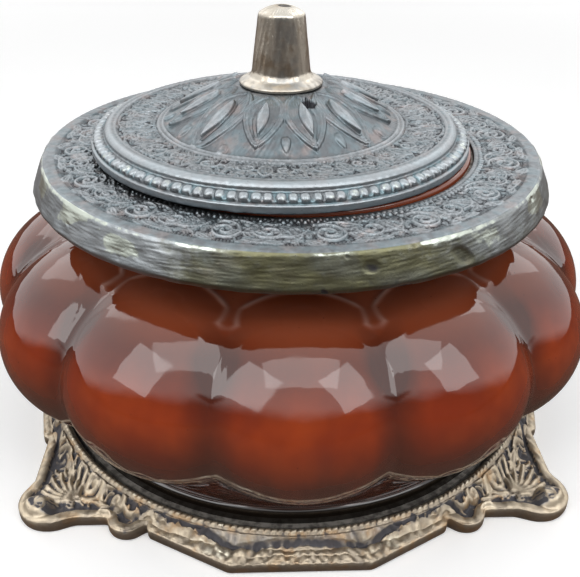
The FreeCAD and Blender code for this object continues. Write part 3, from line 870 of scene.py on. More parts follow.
    def make(self, finish: bpy.types.Material) -> None:
        """Builds the lid and gives it to the frame."""
        turned = Turned(self.columns, self.axis_x, self.outline())
        azimuth, radius, height, normal = turned.grid()
        rise = height - self.seat_z
        top = (normal[:, 1:2] > 0.12) & (rise > 0.9)
        waver, drift = Ripple(5, 14, (3, 19), 0.5), Ripple(6, 14, (3, 23), 0.5)
        arc = azimuth * self.band_middle + 0.30 * waver.at(azimuth, radius)
        out = radius - self.band_in[0] + 0.2 + 0.12 * drift.at(azimuth, radius)
        chased = self.band_pattern().at(arc, out)
        in_band = smooth_step(*self.band_starts, radius) * (1 - smooth_step(*self.band_ends, radius)) * top
        petal, petal_highlight = self.petal_relief(azimuth, radius)
        on_dome = smooth_step(*self.dome_starts, radius) * (1 - smooth_step(*self.dome_ends, radius)) * top
        hoops = sum(half_round(radius - hoop, 0.25) for hoop in self.hoops) * top
        beads, bead_gap = self.bead_relief(azimuth, radius, top)
        nick = Ripple(8, 20, (20, 90), 1.0).at(azimuth, radius)
        lip = smooth_step(*self.lip_starts, radius) * (rise > 0)
        bump = 0.36 * chased * in_band + petal * on_dome * 0.62 + 0.3 * hoops + beads
        bump = bump + 0.05 * nick * lip + 0.03 * Ripple(9, 24, (40, 160), 4.0).at(azimuth, radius) * top
        dent = 0.10 * Ripple(10, 8, (2, 7), 0.15).at(azimuth, radius) * (rise > 0)
        r = radius + normal[:, 0:1] * bump
        z = height + normal[:, 1:2] * bump + dent * (normal[:, 1:2] > 0)
        hole = np.hypot(r * np.cos(azimuth) - self.vent[0], r * np.sin(azimuth) - self.vent[1])
        hole = hole / (self.vent_radius * (1 + 0.12 * np.sin(3 * azimuth)))
        sunk = (hole < 1.0) & top
        z = np.where(sunk, self.seat_z + self.apex_rise - self.thick - 0.3, z)
        relief = 0.62 - in_band * (0.30 - 0.62 * chased) - on_dome * (0.20 - 0.22 * petal)
        plain = smooth_step(*self.plain_starts, radius) * (rise > 0.5)
        relief = relief + 0.2 * hoops - bead_gap + 0.3 * plain
        # painted shade: the underside and the flange's bottom kept dark
        relief = np.where(rise < 0.25, 0.1, relief)
        relief = np.where(sunk, -0.6, relief)
        # 1 on the side towards the light
        facing = np.cos(azimuth - math.radians(self.highlight_side))
        # wear: real wear on the lip and bead tops, plus painted highlights on the ridge line, the lit side of
        # the lip and the petals
        line = half_round(radius - self.highlight_line, 0.35) * top
        wear = 0.12 * lip + 0.2 * lip * smooth_step(-0.2, 0.9, facing) + 0.5 * (beads > 0.3) + 0.4 * line
        wear = wear + 0.42 * petal_highlight * on_dome
        # tarnish outside, stronger on the lit side, which is painted highlight
        tint = 0.85 * smooth_step(*self.tarnish_starts, radius) * (0.65 + 0.35 * facing)
        tint = tint + 0.3 * on_dome + 0.25 * in_band
        fields = {"relief": relief, "wear": wear, "tint": np.clip(tint, 0, 1)}
        piece = turned.skin(azimuth, r, z, fields).build("lid_casting")
        dress(piece, finish, Part.LID, "lid")

    def bead_relief(
        self, azimuth: np.ndarray, radius: np.ndarray, top: np.ndarray
    ) -> tuple[np.ndarray, np.ndarray]:
        """The row of hand-punched beads: (height in millimetres, darkness of the gaps)."""
        count = self.bead_count
        place = azimuth / TURN * count
        index = np.floor(place).astype(int) % count
        draw = np.random.default_rng(23)
        size, shift = draw.uniform(0.72, 1.0, count), draw.uniform(-0.09, 0.09, count)
        along = (place % 1.0 - 0.5 - shift[index]) / (0.44 * size[index] + 0.05)
        across = (radius - self.bead_middle) / self.bead_half
        here = (np.abs(across) < 1.1) & top
        ball = np.sqrt(np.clip(1 - np.abs(along) ** 2.4 - np.abs(across) ** 2.4, 0, 1))
        groove = half_round(np.abs(across) - 1.12, 0.22) * top
        height = (0.72 * size[index] * ball - 0.28 * groove) * (here | (groove > 0))
        return height, 0.5 * here * (ball < 0.2) + 0.2 * groove


@dataclass
class Collar:
    """The cast collar over the glass shoulder: chased band, plain border, brushed and pitted skirt."""

    top_z: float
    low_z: float
    columns: int = 1500
    bore: float = 35.4
    top_radius: float = 48.1
    skirt_radius: float = 50.1
    wall: float = 1.9
    thick: float = 2.0
    band: tuple[float, float] = (36.5, 45.3)
    band_cells: int = 16
    band_middle: float = 41.5
    # the two sides where the upper skirt takes a painted highlight
    highlight_sides: tuple[float, float] = (207.0, 318.0)
    # the side facing the front, where the skirt takes a painted dark reflection
    dark_reflection_side: float = -86.0

    def outline(self) -> Profile:
        """The collar's closed section, from the bore out over the top, down the skirt and back inside."""
        top, low, (inner, outer) = self.top_z, self.low_z, self.band
        rim, skirt, inside = self.top_radius, self.skirt_radius, top - self.thick
        corners = (
            (self.bore, top), (inner - 0.3, top - 0.05), (inner + 0.1, top - 0.3), (outer - 0.2, top - 0.3),
            (outer + 0.3, top - 0.02), (rim - 0.5, top - 0.03), (rim, top - 0.5), (skirt, low + 0.9),
            (skirt - 0.5, low), (skirt - self.wall, low), (rim - self.wall, inside), (self.bore, inside),
        )
        return Profile(corners, step=0.17, soften=0.18)

    def band_pattern(self) -> Chasing:
        """The collar band's repeat: rosette volute, acanthus leaves, inner fringe and outer hatching."""
        high = self.band[1] - self.band[0] + 0.6
        wide = TURN * self.band_middle / self.band_cells
        strokes = line_strokes(
            (volute((4.2, 5.2), 3.3, 250, 1.9, 1), 0.30, 0.95),
            (volute((4.2, 5.2), 3.9, 235, 0.7, 1), 0.22, 0.8),
            (bow((3.4, 1.9), (9.2, 2.6), -0.16), 0.30, 0.9),
            (volute((11.2, 4.6), 2.5, 200, 1.6, -1), 0.28, 0.9),
            (bow((7.6, 7.9), (13.0, 7.7), 0.14), 0.25, 0.8),
            (bow((13.0, 6.0), (wide + 1.0, 3.2), 0.2), 0.28, 0.85),
            (bow((8.2, 7.0), (8.8, 3.4), -0.25), 0.26, 0.8),
        )
        strokes += leaves(
            ((7.4, 5.6), (9.2, 2.2), 1.7, 0.15, 4), ((13.6, 2.4), (15.4, 7.2), 1.9, -0.12, 4),
            ((0.3, 7.4), (3.0, 9.0), 1.2, 0.1, 3), ((9.4, 7.4), (6.8, 8.9), 1.2, -0.1, 3),
            ((13.2, 8.6), (10.4, 8.4), 1.2, 0.1, 3),
        )
        strokes += sprigs(44, 110, wide, 1.4, high - 0.9, 1.5, 0.65)
        tongues = np.arange(wide / 26, wide, wide / 13)
        strokes += [Stroke(np.array([(x, 0.35), (x, 0.85)]), 0.36, 0.85) for x in tongues]
        hatches = np.arange(0.2, wide, wide / 30)
        strokes += [Stroke(np.array([(x, high - 0.95), (x + 0.12, high - 0.2)]), 0.13, 0.6) for x in hatches]
        return Chasing(wide, high, strokes)

    def make(self, finish: bpy.types.Material) -> None:
        """Builds the collar and gives it to the frame."""
        turned = Turned(self.columns, 0.0, self.outline())
        azimuth, radius, height, normal = turned.grid()
        top = normal[:, 1:2] > 0.6
        skirt = (normal[:, 0:1] > 0.5) & (radius > self.top_radius - 0.6)
        waver, drift = Ripple(15, 16, (3, 23), 0.5), Ripple(16, 16, (3, 27), 0.5)
        arc = azimuth * self.band_middle + 0.34 * waver.at(azimuth, radius)
        out = radius - self.band[0] + 0.3 + 0.14 * drift.at(azimuth, radius)
        chased = self.band_pattern().at(arc, out)
        in_band = smooth_step(self.band[0] - 0.35, self.band[0], radius)
        in_band = in_band * (1 - smooth_step(self.band[1], self.band[1] + 0.35, radius)) * top
        down = self.top_z - height
        brushed = Ripple(17, 30, (8, 60), 14.0).at(azimuth, height)
        lumps = Ripple(18, 26, (15, 70), 1.6).at(azimuth, height)
        pits = smooth_step(1.25, 2.0, Ripple(19, 22, (25, 90), 3.2).at(azimuth, height)) * skirt
        bite = smooth_step(0.9, 1.6, Ripple(20, 14, (9, 44), 1.1).at(azimuth, height)) * skirt
        bump = 0.38 * chased * in_band + skirt * (0.02 * brushed + 0.05 * lumps) - 0.35 * pits - 0.2 * bite
        bump = bump + 0.025 * Ripple(21, 24, (60, 200), 4.0).at(azimuth, radius) * top
        edge = half_round(down - 0.35, 0.3) * (radius > self.top_radius - 0.8)
        r = radius + normal[:, 0:1] * bump
        z = height + normal[:, 1:2] * bump
        # bearings of the skirt's painted highlights, and of its painted dark reflection facing the front
        sides = [np.cos(azimuth - math.radians(side)) for side in (*self.highlight_sides, self.dark_reflection_side)]
        left, right = smooth_step(0.70, 0.97, sides[0]), smooth_step(0.72, 0.97, sides[1])
        patch = smooth_step(-0.1, 0.9, Ripple(24, 12, (5, 30), 0.9).at(azimuth, height))
        upper = 1 - smooth_step(2.2, 5.0, down)
        front = smooth_step(0.80, 0.99, sides[2])
        # on the skirt, relief darkens towards the bottom and facing the front, painted dark reflection, and
        # lightens on the left, painted highlight
        relief = 0.62 - in_band * (0.28 - 0.60 * chased) - 0.2 * skirt * smooth_step(1.5, 7.0, down)
        relief = relief + skirt * (0.05 * brushed + 0.45 * left + 0.25 - 0.4 * front)
        relief = relief - 0.6 * pits - 0.3 * bite
        # painted shade: the bore and the faces underneath kept dark
        relief = np.where(~top & ~skirt, 0.15, relief)
        # painted highlight on the upper skirt's two lit sides, added to real wear in patches, brushing and
        # the top edge
        painted_highlight = np.maximum(left, 0.7 * right) * (0.4 + 0.6 * patch) * upper
        wear_and_highlight = 1.1 * painted_highlight + 0.3 * patch * (1 - front) + 0.05 * brushed
        wear = 0.6 * edge * (0.4 + 0.6 * patch) + skirt * wear_and_highlight
        tint = skirt * 0.25 * patch + 0.35 * (radius > 45.4) * top + 0.25 * in_band
        # painted dark reflection on the skirt, strongest facing the front and weakest on the lit left side
        mirrored_dark = skirt * (0.5 + 0.4 * front) * (1 - 0.3 * patch) * (1 - 0.9 * left)
        fields = {"relief": relief, "wear": wear * (1 - in_band), "tint": np.clip(tint, 0, 1), "mirrored_dark": mirrored_dark}
        piece = turned.skin(azimuth, r, z, fields).build("collar_casting")
        dress(piece, finish, Part.JAR, "collar")


@dataclass
class Glass:
    """The blown body: twelve lobes, shoulder, neck, rim, foot and a smooth inside."""

    foot_z: float
    rim_z: float
    columns: int = 960
    lobes: int = 12
    lobe_middle: tuple[float, float] = (38.4, 27.8)
    lobe_out: float = 22.92
    lobe_up: float = 18.5
    crease_ease: float = 1.0
    heart: tuple[float, float] = (30.0, 27.8)
    core: tuple[tuple[float, float], ...] = (
        (34.9, 51.6), (36.6, 48.4), (38.95, 46.0), (41.9, 44.4), (45.4, 43.6), (53.9, 36.5), (53.9, 17.5),
        (47.6, 6.9),
    )
    blend: float = 0.3
    neck_radius: float = 34.9
    mouth_radius: float = 32.3
    foot_radius: float = 48.25
    inside_floor_z: float = 11.8
    seam_proud: float = 0.26
    # from this height up, the lobe tops take painted shade of the collar
    lobe_shade_above: tuple[float, float] = (31.0, 42.0)
    # from this height up, the neck takes painted shade of the collar
    neck_shade_above: tuple[float, float] = (40.5, 45.5)
    # below this height the lobes take painted shade
    under_shade_below: tuple[float, float] = (21.5, 38.0)
    # below this height the foot is painted near-black
    foot_shade_below: tuple[float, float] = (6.6, 7.6)

    def core_reach(self, angle: np.ndarray) -> np.ndarray:
        """The distance from the section's heart to the turned core, along rays at these angles."""
        near = np.array(self.core) - np.array(self.heart)
        bearing, reach = np.arctan2(near[:, 1], near[:, 0]), np.full(angle.shape, np.nan)
        for (x0, y0), (x1, y1), high, low in zip(near[:-1], near[1:], bearing[:-1], bearing[1:]):
            nx, ny = y1 - y0, x0 - x1
            along = nx * np.cos(angle) + ny * np.sin(angle)
            here = (angle <= high + 1e-9) & (angle >= low - 1e-9)
            reach = np.where(here, (nx * x0 + ny * y0) / np.where(here, along, 1.0), reach)
        return reach

    def lobe_reach(self, angle: np.ndarray, azimuth: np.ndarray) -> tuple[np.ndarray, np.ndarray]:
        """Along rays: the distance from the heart to the lobes, and how far off the lobe's middle, 0 to 1."""
        pitch = TURN / self.lobes
        off = np.abs((azimuth + math.pi / 2 + pitch / 2) % pitch - pitch / 2)
        from_crease = pitch / 2 - off
        ease = math.radians(self.crease_ease)
        delta = pitch / 2 - np.sqrt(from_crease**2 + ease**2)
        wide = np.sqrt(self.lobe_out**2 - (self.lobe_middle[0] * np.sin(delta)) ** 2)
        high = self.lobe_up * wide / self.lobe_out
        cx = self.lobe_middle[0] * np.cos(delta) - self.heart[0]
        cz = self.lobe_middle[1] - self.heart[1]
        ux, uz = np.cos(angle), np.sin(angle)
        a = (ux / wide) ** 2 + (uz / high) ** 2
        b = -2 * (ux * cx / wide**2 + uz * cz / high**2)
        c = (cx / wide) ** 2 + (cz / high) ** 2 - 1
        return (-b + np.sqrt(np.maximum(b * b - 4 * a * c, 0))) / (2 * a), off / (pitch / 2)

    def make(self, finish: bpy.types.Material) -> None:
        """Builds the glass and gives it to the frame."""
        azimuth = (np.arange(self.columns) * TURN / self.columns)[None, :]
        ends = [math.atan2(z - self.heart[1], r - self.heart[0]) for r, z in (self.core[0], self.core[-1])]
        angle = np.linspace(ends[0] - 1e-6, ends[1] + 1e-6, 190)[:, None]
        core = self.core_reach(angle) * np.ones_like(azimuth)
        lobe, off = self.lobe_reach(angle, azimuth)
        hollow = (lobe + core) / 2 + np.sqrt(((lobe - core) / 2) ** 2 + self.blend**2)
        reach = np.where(np.abs(lobe - core) < 6 * self.blend, hollow, np.maximum(lobe, core))
        reach = np.minimum(reach, np.maximum(lobe, core) + self.blend)
        sway = 0.16 * Ripple(31, 9, (1, 9), 0.0).at(azimuth, 0 * angle) * np.cos(angle) ** 2
        proud = lobe - core
        climb = np.gradient(proud, axis=0) / (reach * np.gradient(angle, axis=0))
        stray = (np.roll(proud, -1, 1) - np.roll(proud, 1, 1)) * self.columns / (2 * TURN * self.core[0][0])
        apart = proud / np.maximum(np.hypot(climb, stray), 0.3)
        # the raised seam along the upper crease; its field also carries a painted highlight
        seam_and_highlight = np.exp(-(((apart - 0.2) / 0.4) ** 2)) * smooth_step(0.3, 0.6, np.sin(angle)) * (proud > -1.5)
        seam_and_highlight = seam_and_highlight * (1 - 0.8 * smooth_step(0.82, 0.97, off))
        reach = reach + self.seam_proud * seam_and_highlight
        bulge_r = self.heart[0] + (reach + sway) * np.cos(angle)
        bulge_z = self.heart[1] + (reach + sway) * np.sin(angle)
        ones = np.ones_like(azimuth)
        rim, neck, mouth = self.rim_z, self.neck_radius, self.mouth_radius
        floor_z = self.inside_floor_z
        inside_up = [
            (1.0, floor_z), (20.0, floor_z), (34.0, floor_z), (41.0, floor_z), (45.0, 14.4), (48.0, 16.9),
            (50.9, 20.2), (53.0, 24.0), (53.0, 30.0), (51.2, 33.7), (48.8, 36.9), (45.7, 39.3), (42.0, 41.2),
            (38.3, 42.6), (35.5, 44.8), (33.5, 47.8), (mouth, 51.6),
        ]
        over = [
            (mouth, rim - 0.5), (mouth + 0.25, rim - 0.1), (mouth + 0.9, rim), (neck - 0.9, rim),
            (neck - 0.25, rim - 0.12), (neck, rim - 0.55), (neck, 55.5), (neck, 53.4),
        ]
        foot, sole = self.foot_radius, self.foot_z
        low = [
            (47.7, 6.8), (48.0, 6.65), (48.2, 6.3), (foot, 5.8), (foot, 3.4), (48.0, sole + 0.4),
            (47.5, sole), (40.0, sole), (36.0, sole + 4.6), (20.0, sole + 4.6), (1.0, sole + 4.6),
        ]
        above, below = (np.array(rows)[:, :, None] * ones for rows in (inside_up + over, low))
        r = np.concatenate([above[:, 0], bulge_r, below[:, 0]])
        z = np.concatenate([above[:, 1], bulge_z, below[:, 1]])

        def on_lobes(value: np.ndarray) -> np.ndarray:
            """A field of the lobed rows, with 0 on all the others."""
            full = np.zeros(r.shape)
            full[len(above) : len(above) + len(bulge_r)] = value
            return full

        # painted shade in the valleys between the lobes
        near_crease = smooth_step(0.62, 1.0, off) * smooth_step(0.3, 1.2, lobe - core)
        inside = np.zeros(r.shape)
        # the inside rows take painted shade
        inside[: len(inside_up) + 2] = 0.7
        fields = {
            # painted shade in the valleys and on the lobe tops
            "lobe_shade": on_lobes(near_crease + 1.3 * smooth_step(*self.lobe_shade_above, bulge_z)),
            # painted shade on the neck and inside
            "neck": np.clip(smooth_step(*self.neck_shade_above, z) + inside, 0, 1),
            # the foot, painted near-black
            "foot": 1 - smooth_step(*self.foot_shade_below, z),
            # painted shade under the lobes
            "under_shade": on_lobes(1 - smooth_step(*self.under_shade_below, bulge_z)),
            # painted highlight on the seam
            "seam_and_highlight": on_lobes(seam_and_highlight),
        }
        piece = Skin(around_axis(azimuth, r, z), fields, closed=False).build("glass_lobed_body")
        dress(piece, finish, Part.JAR, "glass_bowl")


@dataclass
class Stand:
    """The cast stand: bulging sides, rolled border, shell corners, scrolls, and a ring for the glass foot."""

    columns: int = 2160
    half: tuple[float, float] = (50.3, 44.5)
    corner_cut: float = 3.1
    front_bulge: tuple[float, float, float, float] = (12.6, 56.3, 27.4, 47.9)
    end_bulge: tuple[float, float, float, float] = (11.0, 54.1, 22.0, 51.5)
    bead: tuple[float, float, float] = (31.2, 44.6, 3.7)
    foot: tuple[float, float, float] = (46.0, 39.8, 6.1)
    toe: tuple[float, float] = (48.4, 42.2)
    border: float = 2.0
    front_border: float = 3.1
    border_z: float = 2.85
    edge_z: float = 2.0
    field_z: float = 2.0
    foot_z: float = 4.3
    ring_in: float = 49.3
    ring_top: float = 4.75
    lip_middle: float = 51.3
    lip_half: float = 0.58
    lip_high: float = 0.65
    ring_out: float = 52.3
    skirt_slope: float = 1.15
    seat_z: float = 1.6
    under_z: float = 0.7
    notches: int = 270
    fattened: float = 1.5
    pitted_within: tuple[float, float] = (13.5, 18.0)
    front_within: tuple[float, float] = (20.0, 27.0)
    sides_from: float = 30.0
    inner_rings: tuple[float, ...] = (40.0, 20.0, 1.0)
    chased_size: tuple[float, float] = (60.0, 58.0)
    knuckle: tuple[float, float] = (35.6, 44.2)

    def reach(self, azimuth: np.ndarray) -> np.ndarray:
        """How far the stand's plan reaches from its axis at each azimuth, with its corners eased as cast."""
        x, y = np.abs(np.cos(azimuth)) + 1e-6, np.abs(np.sin(azimuth)) + 1e-6
        cut = (sum(self.half) - self.corner_cut) / (x + y)
        far = np.minimum(np.minimum(self.half[0] / x, self.half[1] / y), cut)
        bulges = ((y, x, self.front_bulge), (x, y, self.end_bulge))
        for ahead, aside, (flat_b, flat_a, root_b, root_a) in bulges:
            na, nb = root_b - flat_b, flat_a - root_a
            slope = (na * flat_a + nb * flat_b) / (na * ahead + nb * aside)
            far = np.maximum(far, np.minimum(np.minimum(flat_a / ahead, slope), root_b / aside))
        for disc_x, disc_y, disc_r in (self.bead, self.foot):
            along = x * disc_x + y * disc_y
            gap = disc_x**2 + disc_y**2 - along**2
            rim = along + np.sqrt(np.maximum(disc_r**2 - gap, 0))
            far = np.maximum(far, np.where(gap < disc_r**2, rim, 0.0))
        kernel = np.hanning(15)[1:-1]
        kernel /= kernel.sum()
        return np.convolve(np.pad(far, 6, mode="wrap"), kernel, mode="valid")

    def corner_strokes(self) -> list[Stroke]:
        """One corner's shell, leaves, volutes and scrolls in plan, by distance from each middle plane."""
        strokes = line_strokes(
            (volute((38.6, 37.4), 3.0, 60, 1.5, 1), 0.46, 1.0),
            (bow((36.2, 38.6), (35.4, 42.2), -0.25), 0.44, 1.0),
            (bow((39.6, 40.6), (36.2, 42.4), 0.2), 0.4, 0.8),
            (volute((33.4, 41.9), 1.5, 200, 1.2, -1), 0.36, 0.95),
            (bow((31.9, 43.2), (29.4, 44.6), -0.2), 0.36, 0.9),
            (volute((28.6, 46.6), 1.5, 20, 1.2, 1), 0.34, 0.95),
            (bow((26.9, 46.4), (24.2, 47.6), 0.24), 0.34, 0.9),
            (volute((22.7, 49.3), 1.4, 200, 1.2, -1), 0.32, 0.9),
            (bow((21.2, 49.6), (18.4, 50.8), 0.24), 0.32, 0.8),
            (volute((46.3, 24.2), 1.9, 120, 1.3, 1), 0.42, 1.0),
            (bow((47.0, 26.6), (44.4, 29.0), 0.22), 0.4, 0.9),
            (volute((49.0, 19.6), 1.4, 20, 1.2, -1), 0.34, 0.9),
            (bow((49.8, 17.6), (51.6, 12.8), -0.2), 0.34, 0.8),
        )
        strokes += leaves(
            ((43.0, 34.4), (44.2, 29.8), 1.7, 0.12, 3), ((40.4, 33.6), (41.2, 29.6), 1.5, -0.1, 3),
            ((38.0, 33.6), (36.4, 36.6), 1.2, 0.1, 2), ((35.6, 39.0), (33.0, 39.6), 1.1, 0.1, 2),
        )
        hub = (41.6, 40.4)
        for step in range(8):
            tilt = math.radians(8 + 13.5 * step)
            start = (hub[0] + 1.2 * math.cos(tilt), hub[1] - 1.2 * math.sin(tilt))
            reach = 6.4 + 2.0 * math.sin(math.pi * step / 7)
            end = (hub[0] + reach * math.cos(tilt), hub[1] - reach * math.sin(tilt))
            strokes.append(Stroke(bow(start, end, 0.08), 0.36, 0.95))
        strokes.append(Stroke(bow((47.6, 38.6), (40.6, 31.6), -0.3), 0.26, 0.7))
        strokes += sprigs(58, 460, 56.0, 24.0, 57.0, 2.6, 0.6)
        return [Stroke(s.line, s.half_width * self.fattened, s.height) for s in strokes]

    def make(self, finish: bpy.types.Material) -> None:
        """Builds the stand and gives it to the frame."""
        azimuth = np.arange(self.columns) * TURN / self.columns
        far = self.reach(azimuth)
        ring = np.linspace(self.ring_in - 3.0, self.ring_out, 36)[:, None] * np.ones(self.columns)
        spread = np.linspace(0, 1, 60)[1:, None]
        r = np.concatenate([ring, self.ring_out + (far - self.ring_out)[None, :] * spread])
        azimuth = azimuth[None, :]
        x, y = r * np.cos(azimuth), r * np.sin(azimuth)
        edge_x, edge_y = far * np.cos(azimuth[0]), far * np.sin(azimuth[0])
        inset = np.full(r.shape, np.inf)
        for k in range(-36, 37):
            inset = np.minimum(inset, np.hypot(x - np.roll(edge_x, k), y - np.roll(edge_y, k)))
        wobble_a, wobble_b = Ripple(51, 16, (4, 30), 0.3), Ripple(52, 16, (4, 30), 0.3)
        side_x = np.abs(x) + 0.2 * wobble_a.at(azimuth, r)
        side_y = np.abs(y) + 0.2 * wobble_b.at(azimuth, r)
        chased = Chasing(*self.chased_size, self.corner_strokes(), grain=0.1).at(side_x, side_y)
        z, lip, notch = self.ring_height(azimuth, r)
        ahead = np.abs(y) > self.sides_from
        pitted = (1 - smooth_step(*self.pitted_within, np.abs(x))) * ahead
        in_front = (1 - smooth_step(*self.front_within, np.abs(x))) * ahead
        border = self.border + (self.front_border - self.border) * in_front
        field_area = smooth_step(self.ring_out - 0.3, self.ring_out + 0.3, r)
        field_area = field_area * smooth_step(-0.6, 0.1, inset - border)
        outside = r > self.ring_out
        skirt = np.maximum(self.field_z, self.ring_top - (r - self.ring_out) * self.skirt_slope)
        part_way = np.clip((r - self.ring_out) / np.maximum(far - self.ring_out, 1.0), 0, 1)
        plump = 1.1 * np.sin(math.pi * part_way)
        z = np.where(outside, np.maximum(skirt, self.field_z + plump * pitted), z)
        places = (self.toe, self.knuckle)
        from_toe, from_knuckle = (np.hypot(np.abs(x) - at_x, np.abs(y) - at_y) for at_x, at_y in places)
        foot, knuckle = 1 - smooth_step(1.4, 4.4, from_toe), 1 - smooth_step(0.9, 2.3, from_knuckle)
        z = z + 0.85 * chased * field_area * (1 - pitted) * (1 - foot)
        roll = half_round(inset - border / 2, border / 2 + 0.2) * outside
        on_roll = (inset < border) * outside
        rolled = self.edge_z + (self.border_z - self.edge_z) * roll
        z = np.where(on_roll > 0, np.maximum(rolled, np.where(inset < border / 2, 0, z)), z)
        groove = half_round(inset - border - 0.3, 0.5) * outside
        z = z - 0.4 * groove
        z = np.maximum(z, self.edge_z + (self.foot_z - self.edge_z) * foot * smooth_step(-0.2, 1.8, inset))
        z = np.maximum(z, self.edge_z + 1.5 * knuckle * smooth_step(-0.2, 1.2, inset))
        pit = Ripple(53, 30, (60, 260), 3.0).at(azimuth, r)
        lumps = Ripple(54, 20, (12, 60), 0.9).at(azimuth, r)
        chase = Ripple(57, 24, (40, 150), 2.0).at(azimuth, r)
        z = z + (0.06 + 0.12 * pitted) * pit * outside
        z = z + (0.1 + 0.08 * in_front) * lumps * on_roll * (inset > 0.3)
        z = z + (0.1 + 0.08 * in_front * on_roll) * chase * (inset > 0.3) * outside
        relief = 0.42 - field_area * (0.34 - 0.78 * chased * (1 - pitted)) + 0.3 * roll * on_roll
        relief = relief + 0.40 * pitted * field_area - 0.45 * groove + 0.4 * lip - 0.3 * notch
        relief = relief + 0.35 * foot + 0.3 * knuckle + 0.14 * pit + 0.14 * chase
        relief = np.where(r < self.lip_middle - self.lip_half - 0.5, -0.1, relief)
        worn_front = smooth_step(0.2, 0.9, Ripple(55, 10, (3, 24), 0.3).at(azimuth, r))
        wear = 0.2 * roll * on_roll + 0.62 * lip * (1 - 0.5 * notch) + 0.28 * foot + 0.3 * knuckle
        wear = wear + (0.25 * worn_front + 0.25 * in_front) * roll * on_roll
        wear = wear + 0.2 * chased * field_area * (1 - pitted)
        tint = 0.4 * field_area * pitted + 0.7 * (chased < 0.1) * field_area * (1 - pitted)
        r, z, extra = self.close(r, z, far)
        on_top = (("relief", relief, 0.5), ("wear", wear, 0.2), ("tint", np.clip(tint, 0, 1), 0.15))
        fields = {key: np.concatenate([value, np.full(extra.shape, below)]) for key, value, below in on_top}
        piece = Skin(around_axis(azimuth, r, z), fields, closed=False).build("stand_casting")
        dress(piece, finish, Part.JAR, "base_stand")

    def ring_height(self, azimuth: np.ndarray, r: np.ndarray) -> tuple[np.ndarray, np.ndarray, np.ndarray]:
        """The ring that holds the glass foot: (height, 1 on its notched lip, 1 in the lip's notches)."""
        wall = self.seat_z + (self.ring_top - self.seat_z) * smooth_step(self.ring_in, self.ring_in + 1.2, r)
        lip = half_round(r - self.lip_middle, self.lip_half)
        waver = 0.8 * Ripple(56, 8, (5, 40), 0.0).at(azimuth, r)
        strand = azimuth * self.notches + (r - self.lip_middle) * 2.2 + waver
        notch = smooth_step(0.3, 1.0, np.sin(strand)) * (lip > 0.05)
        height = wall + self.lip_high * lip - 0.3 * notch * lip
        return height, lip, notch

    def close(
        self, r: np.ndarray, z: np.ndarray, far: np.ndarray
    ) -> tuple[np.ndarray, np.ndarray, np.ndarray]:
        """Adds the side, the sole and the hollow underneath to the top's rows.

        Args:
            r: the radii of the top's rows.
            z: their heights.
            far: the plan's reach at each azimuth.

        Returns:
            All the radii, all the heights, and the rows that were added.
        """
        side = ((0.0, 1.4), (-0.05, 0.8), (-0.2, 0.35), (-0.6, 0.05), (-1.2, 0.0), (-2.5, 0.0))
        inner = np.full(far.shape, self.under_z)
        rows = [(far + out, np.full(far.shape, height)) for out, height in (*side, (-2.8, self.under_z))]
        rows += [(np.full(far.shape, radius), inner) for radius in self.inner_rings]
        more_r, more_z = (np.stack(column) for column in zip(*rows))
        return np.concatenate([r, more_r]), np.concatenate([z, more_z]), more_r


@dataclass
class Knob:
    """The tapered peg on the lid, a little out of round, with a flared foot and a low crown."""

    seat_z: float
    top_z: float
    axis_x: float
    columns: int = 320
    foot: tuple[float, float] = (8.0, 0.9)
    waist: tuple[float, float] = (5.55, 2.5)
    top: float = 4.35

    def outline(self) -> Profile:
        """The peg's section, from its crown down to its foot and in beneath."""
        z, top, (foot, rise), (waist, up) = self.seat_z, self.top_z, self.foot, self.waist
        corners = (
            (0.4, top - 0.02), (1.5, top - 0.2), (2.6, top - 0.5), (self.top - 0.75, top - 0.95),
            (self.top - 0.1, top - 1.4), (self.top, top - 2.0), (waist, z + up), (waist + 0.55, z + 1.6),
            (foot - 0.6, z + rise + 0.15), (foot, z + rise - 0.25), (foot - 0.1, z + 0.1),
            (foot - 0.7, z + 0.02), (2.0, z + 0.02),
        )
        return Profile(corners, step=0.14, soften=0.2, closed=False)

    def make(self, finish: bpy.types.Material) -> None:
        """Builds the knob and gives it to the frame."""
        turned = Turned(self.columns, self.axis_x, self.outline())
        azimuth, radius, height, _ = turned.grid()
        shank = smooth_step(self.seat_z + 1.2, self.seat_z + 3.5, height)
        facets = 0.10 * Ripple(61, 7, (2, 9), 0.12).at(azimuth, height) * shank
        hammer = 0.035 * Ripple(62, 18, (6, 30), 1.2).at(azimuth, height)
        crown = smooth_step(self.top_z - 1.4, self.top_z - 0.8, height)
        off_centre = np.hypot(radius * np.cos(azimuth) - 0.5, radius * np.sin(azimuth))
        dish = 0.30 * crown * (1 - smooth_step(0.6, 1.6, off_centre))
        r = np.maximum(radius + (facets + hammer) * (radius > 2.5), 0.2)
        z = height - np.abs(hammer) * crown - dish
        relief = 0.52 + 1.6 * hammer + 0.9 * facets - 0.9 * dish / 0.3
        foot = 1 - smooth_step(self.seat_z + 0.9, self.seat_z + 2.6, height)
        relief = relief - 0.16 * foot
        # real wear at the crown's edge, and a painted highlight on the side towards azimuth -63 degrees
        wear_and_highlight = half_round(height - self.top_z + 0.95, 0.8) * 0.55
        wear_and_highlight = wear_and_highlight + 0.22 * smooth_step(0.2, 1.0, np.cos(azimuth + 1.1))
        tint = 0.55 * foot + 0.7 * half_round(turned_from(azimuth, -math.pi / 2 + 0.15), 0.5)
        fields = {"relief": relief, "wear": wear_and_highlight, "tint": tint}
        piece = turned.skin(azimuth, r, z, fields).build("knob_peg")
        dress(piece, finish, Part.LID, "knob")


# ---------------------------------------------------------------- studio


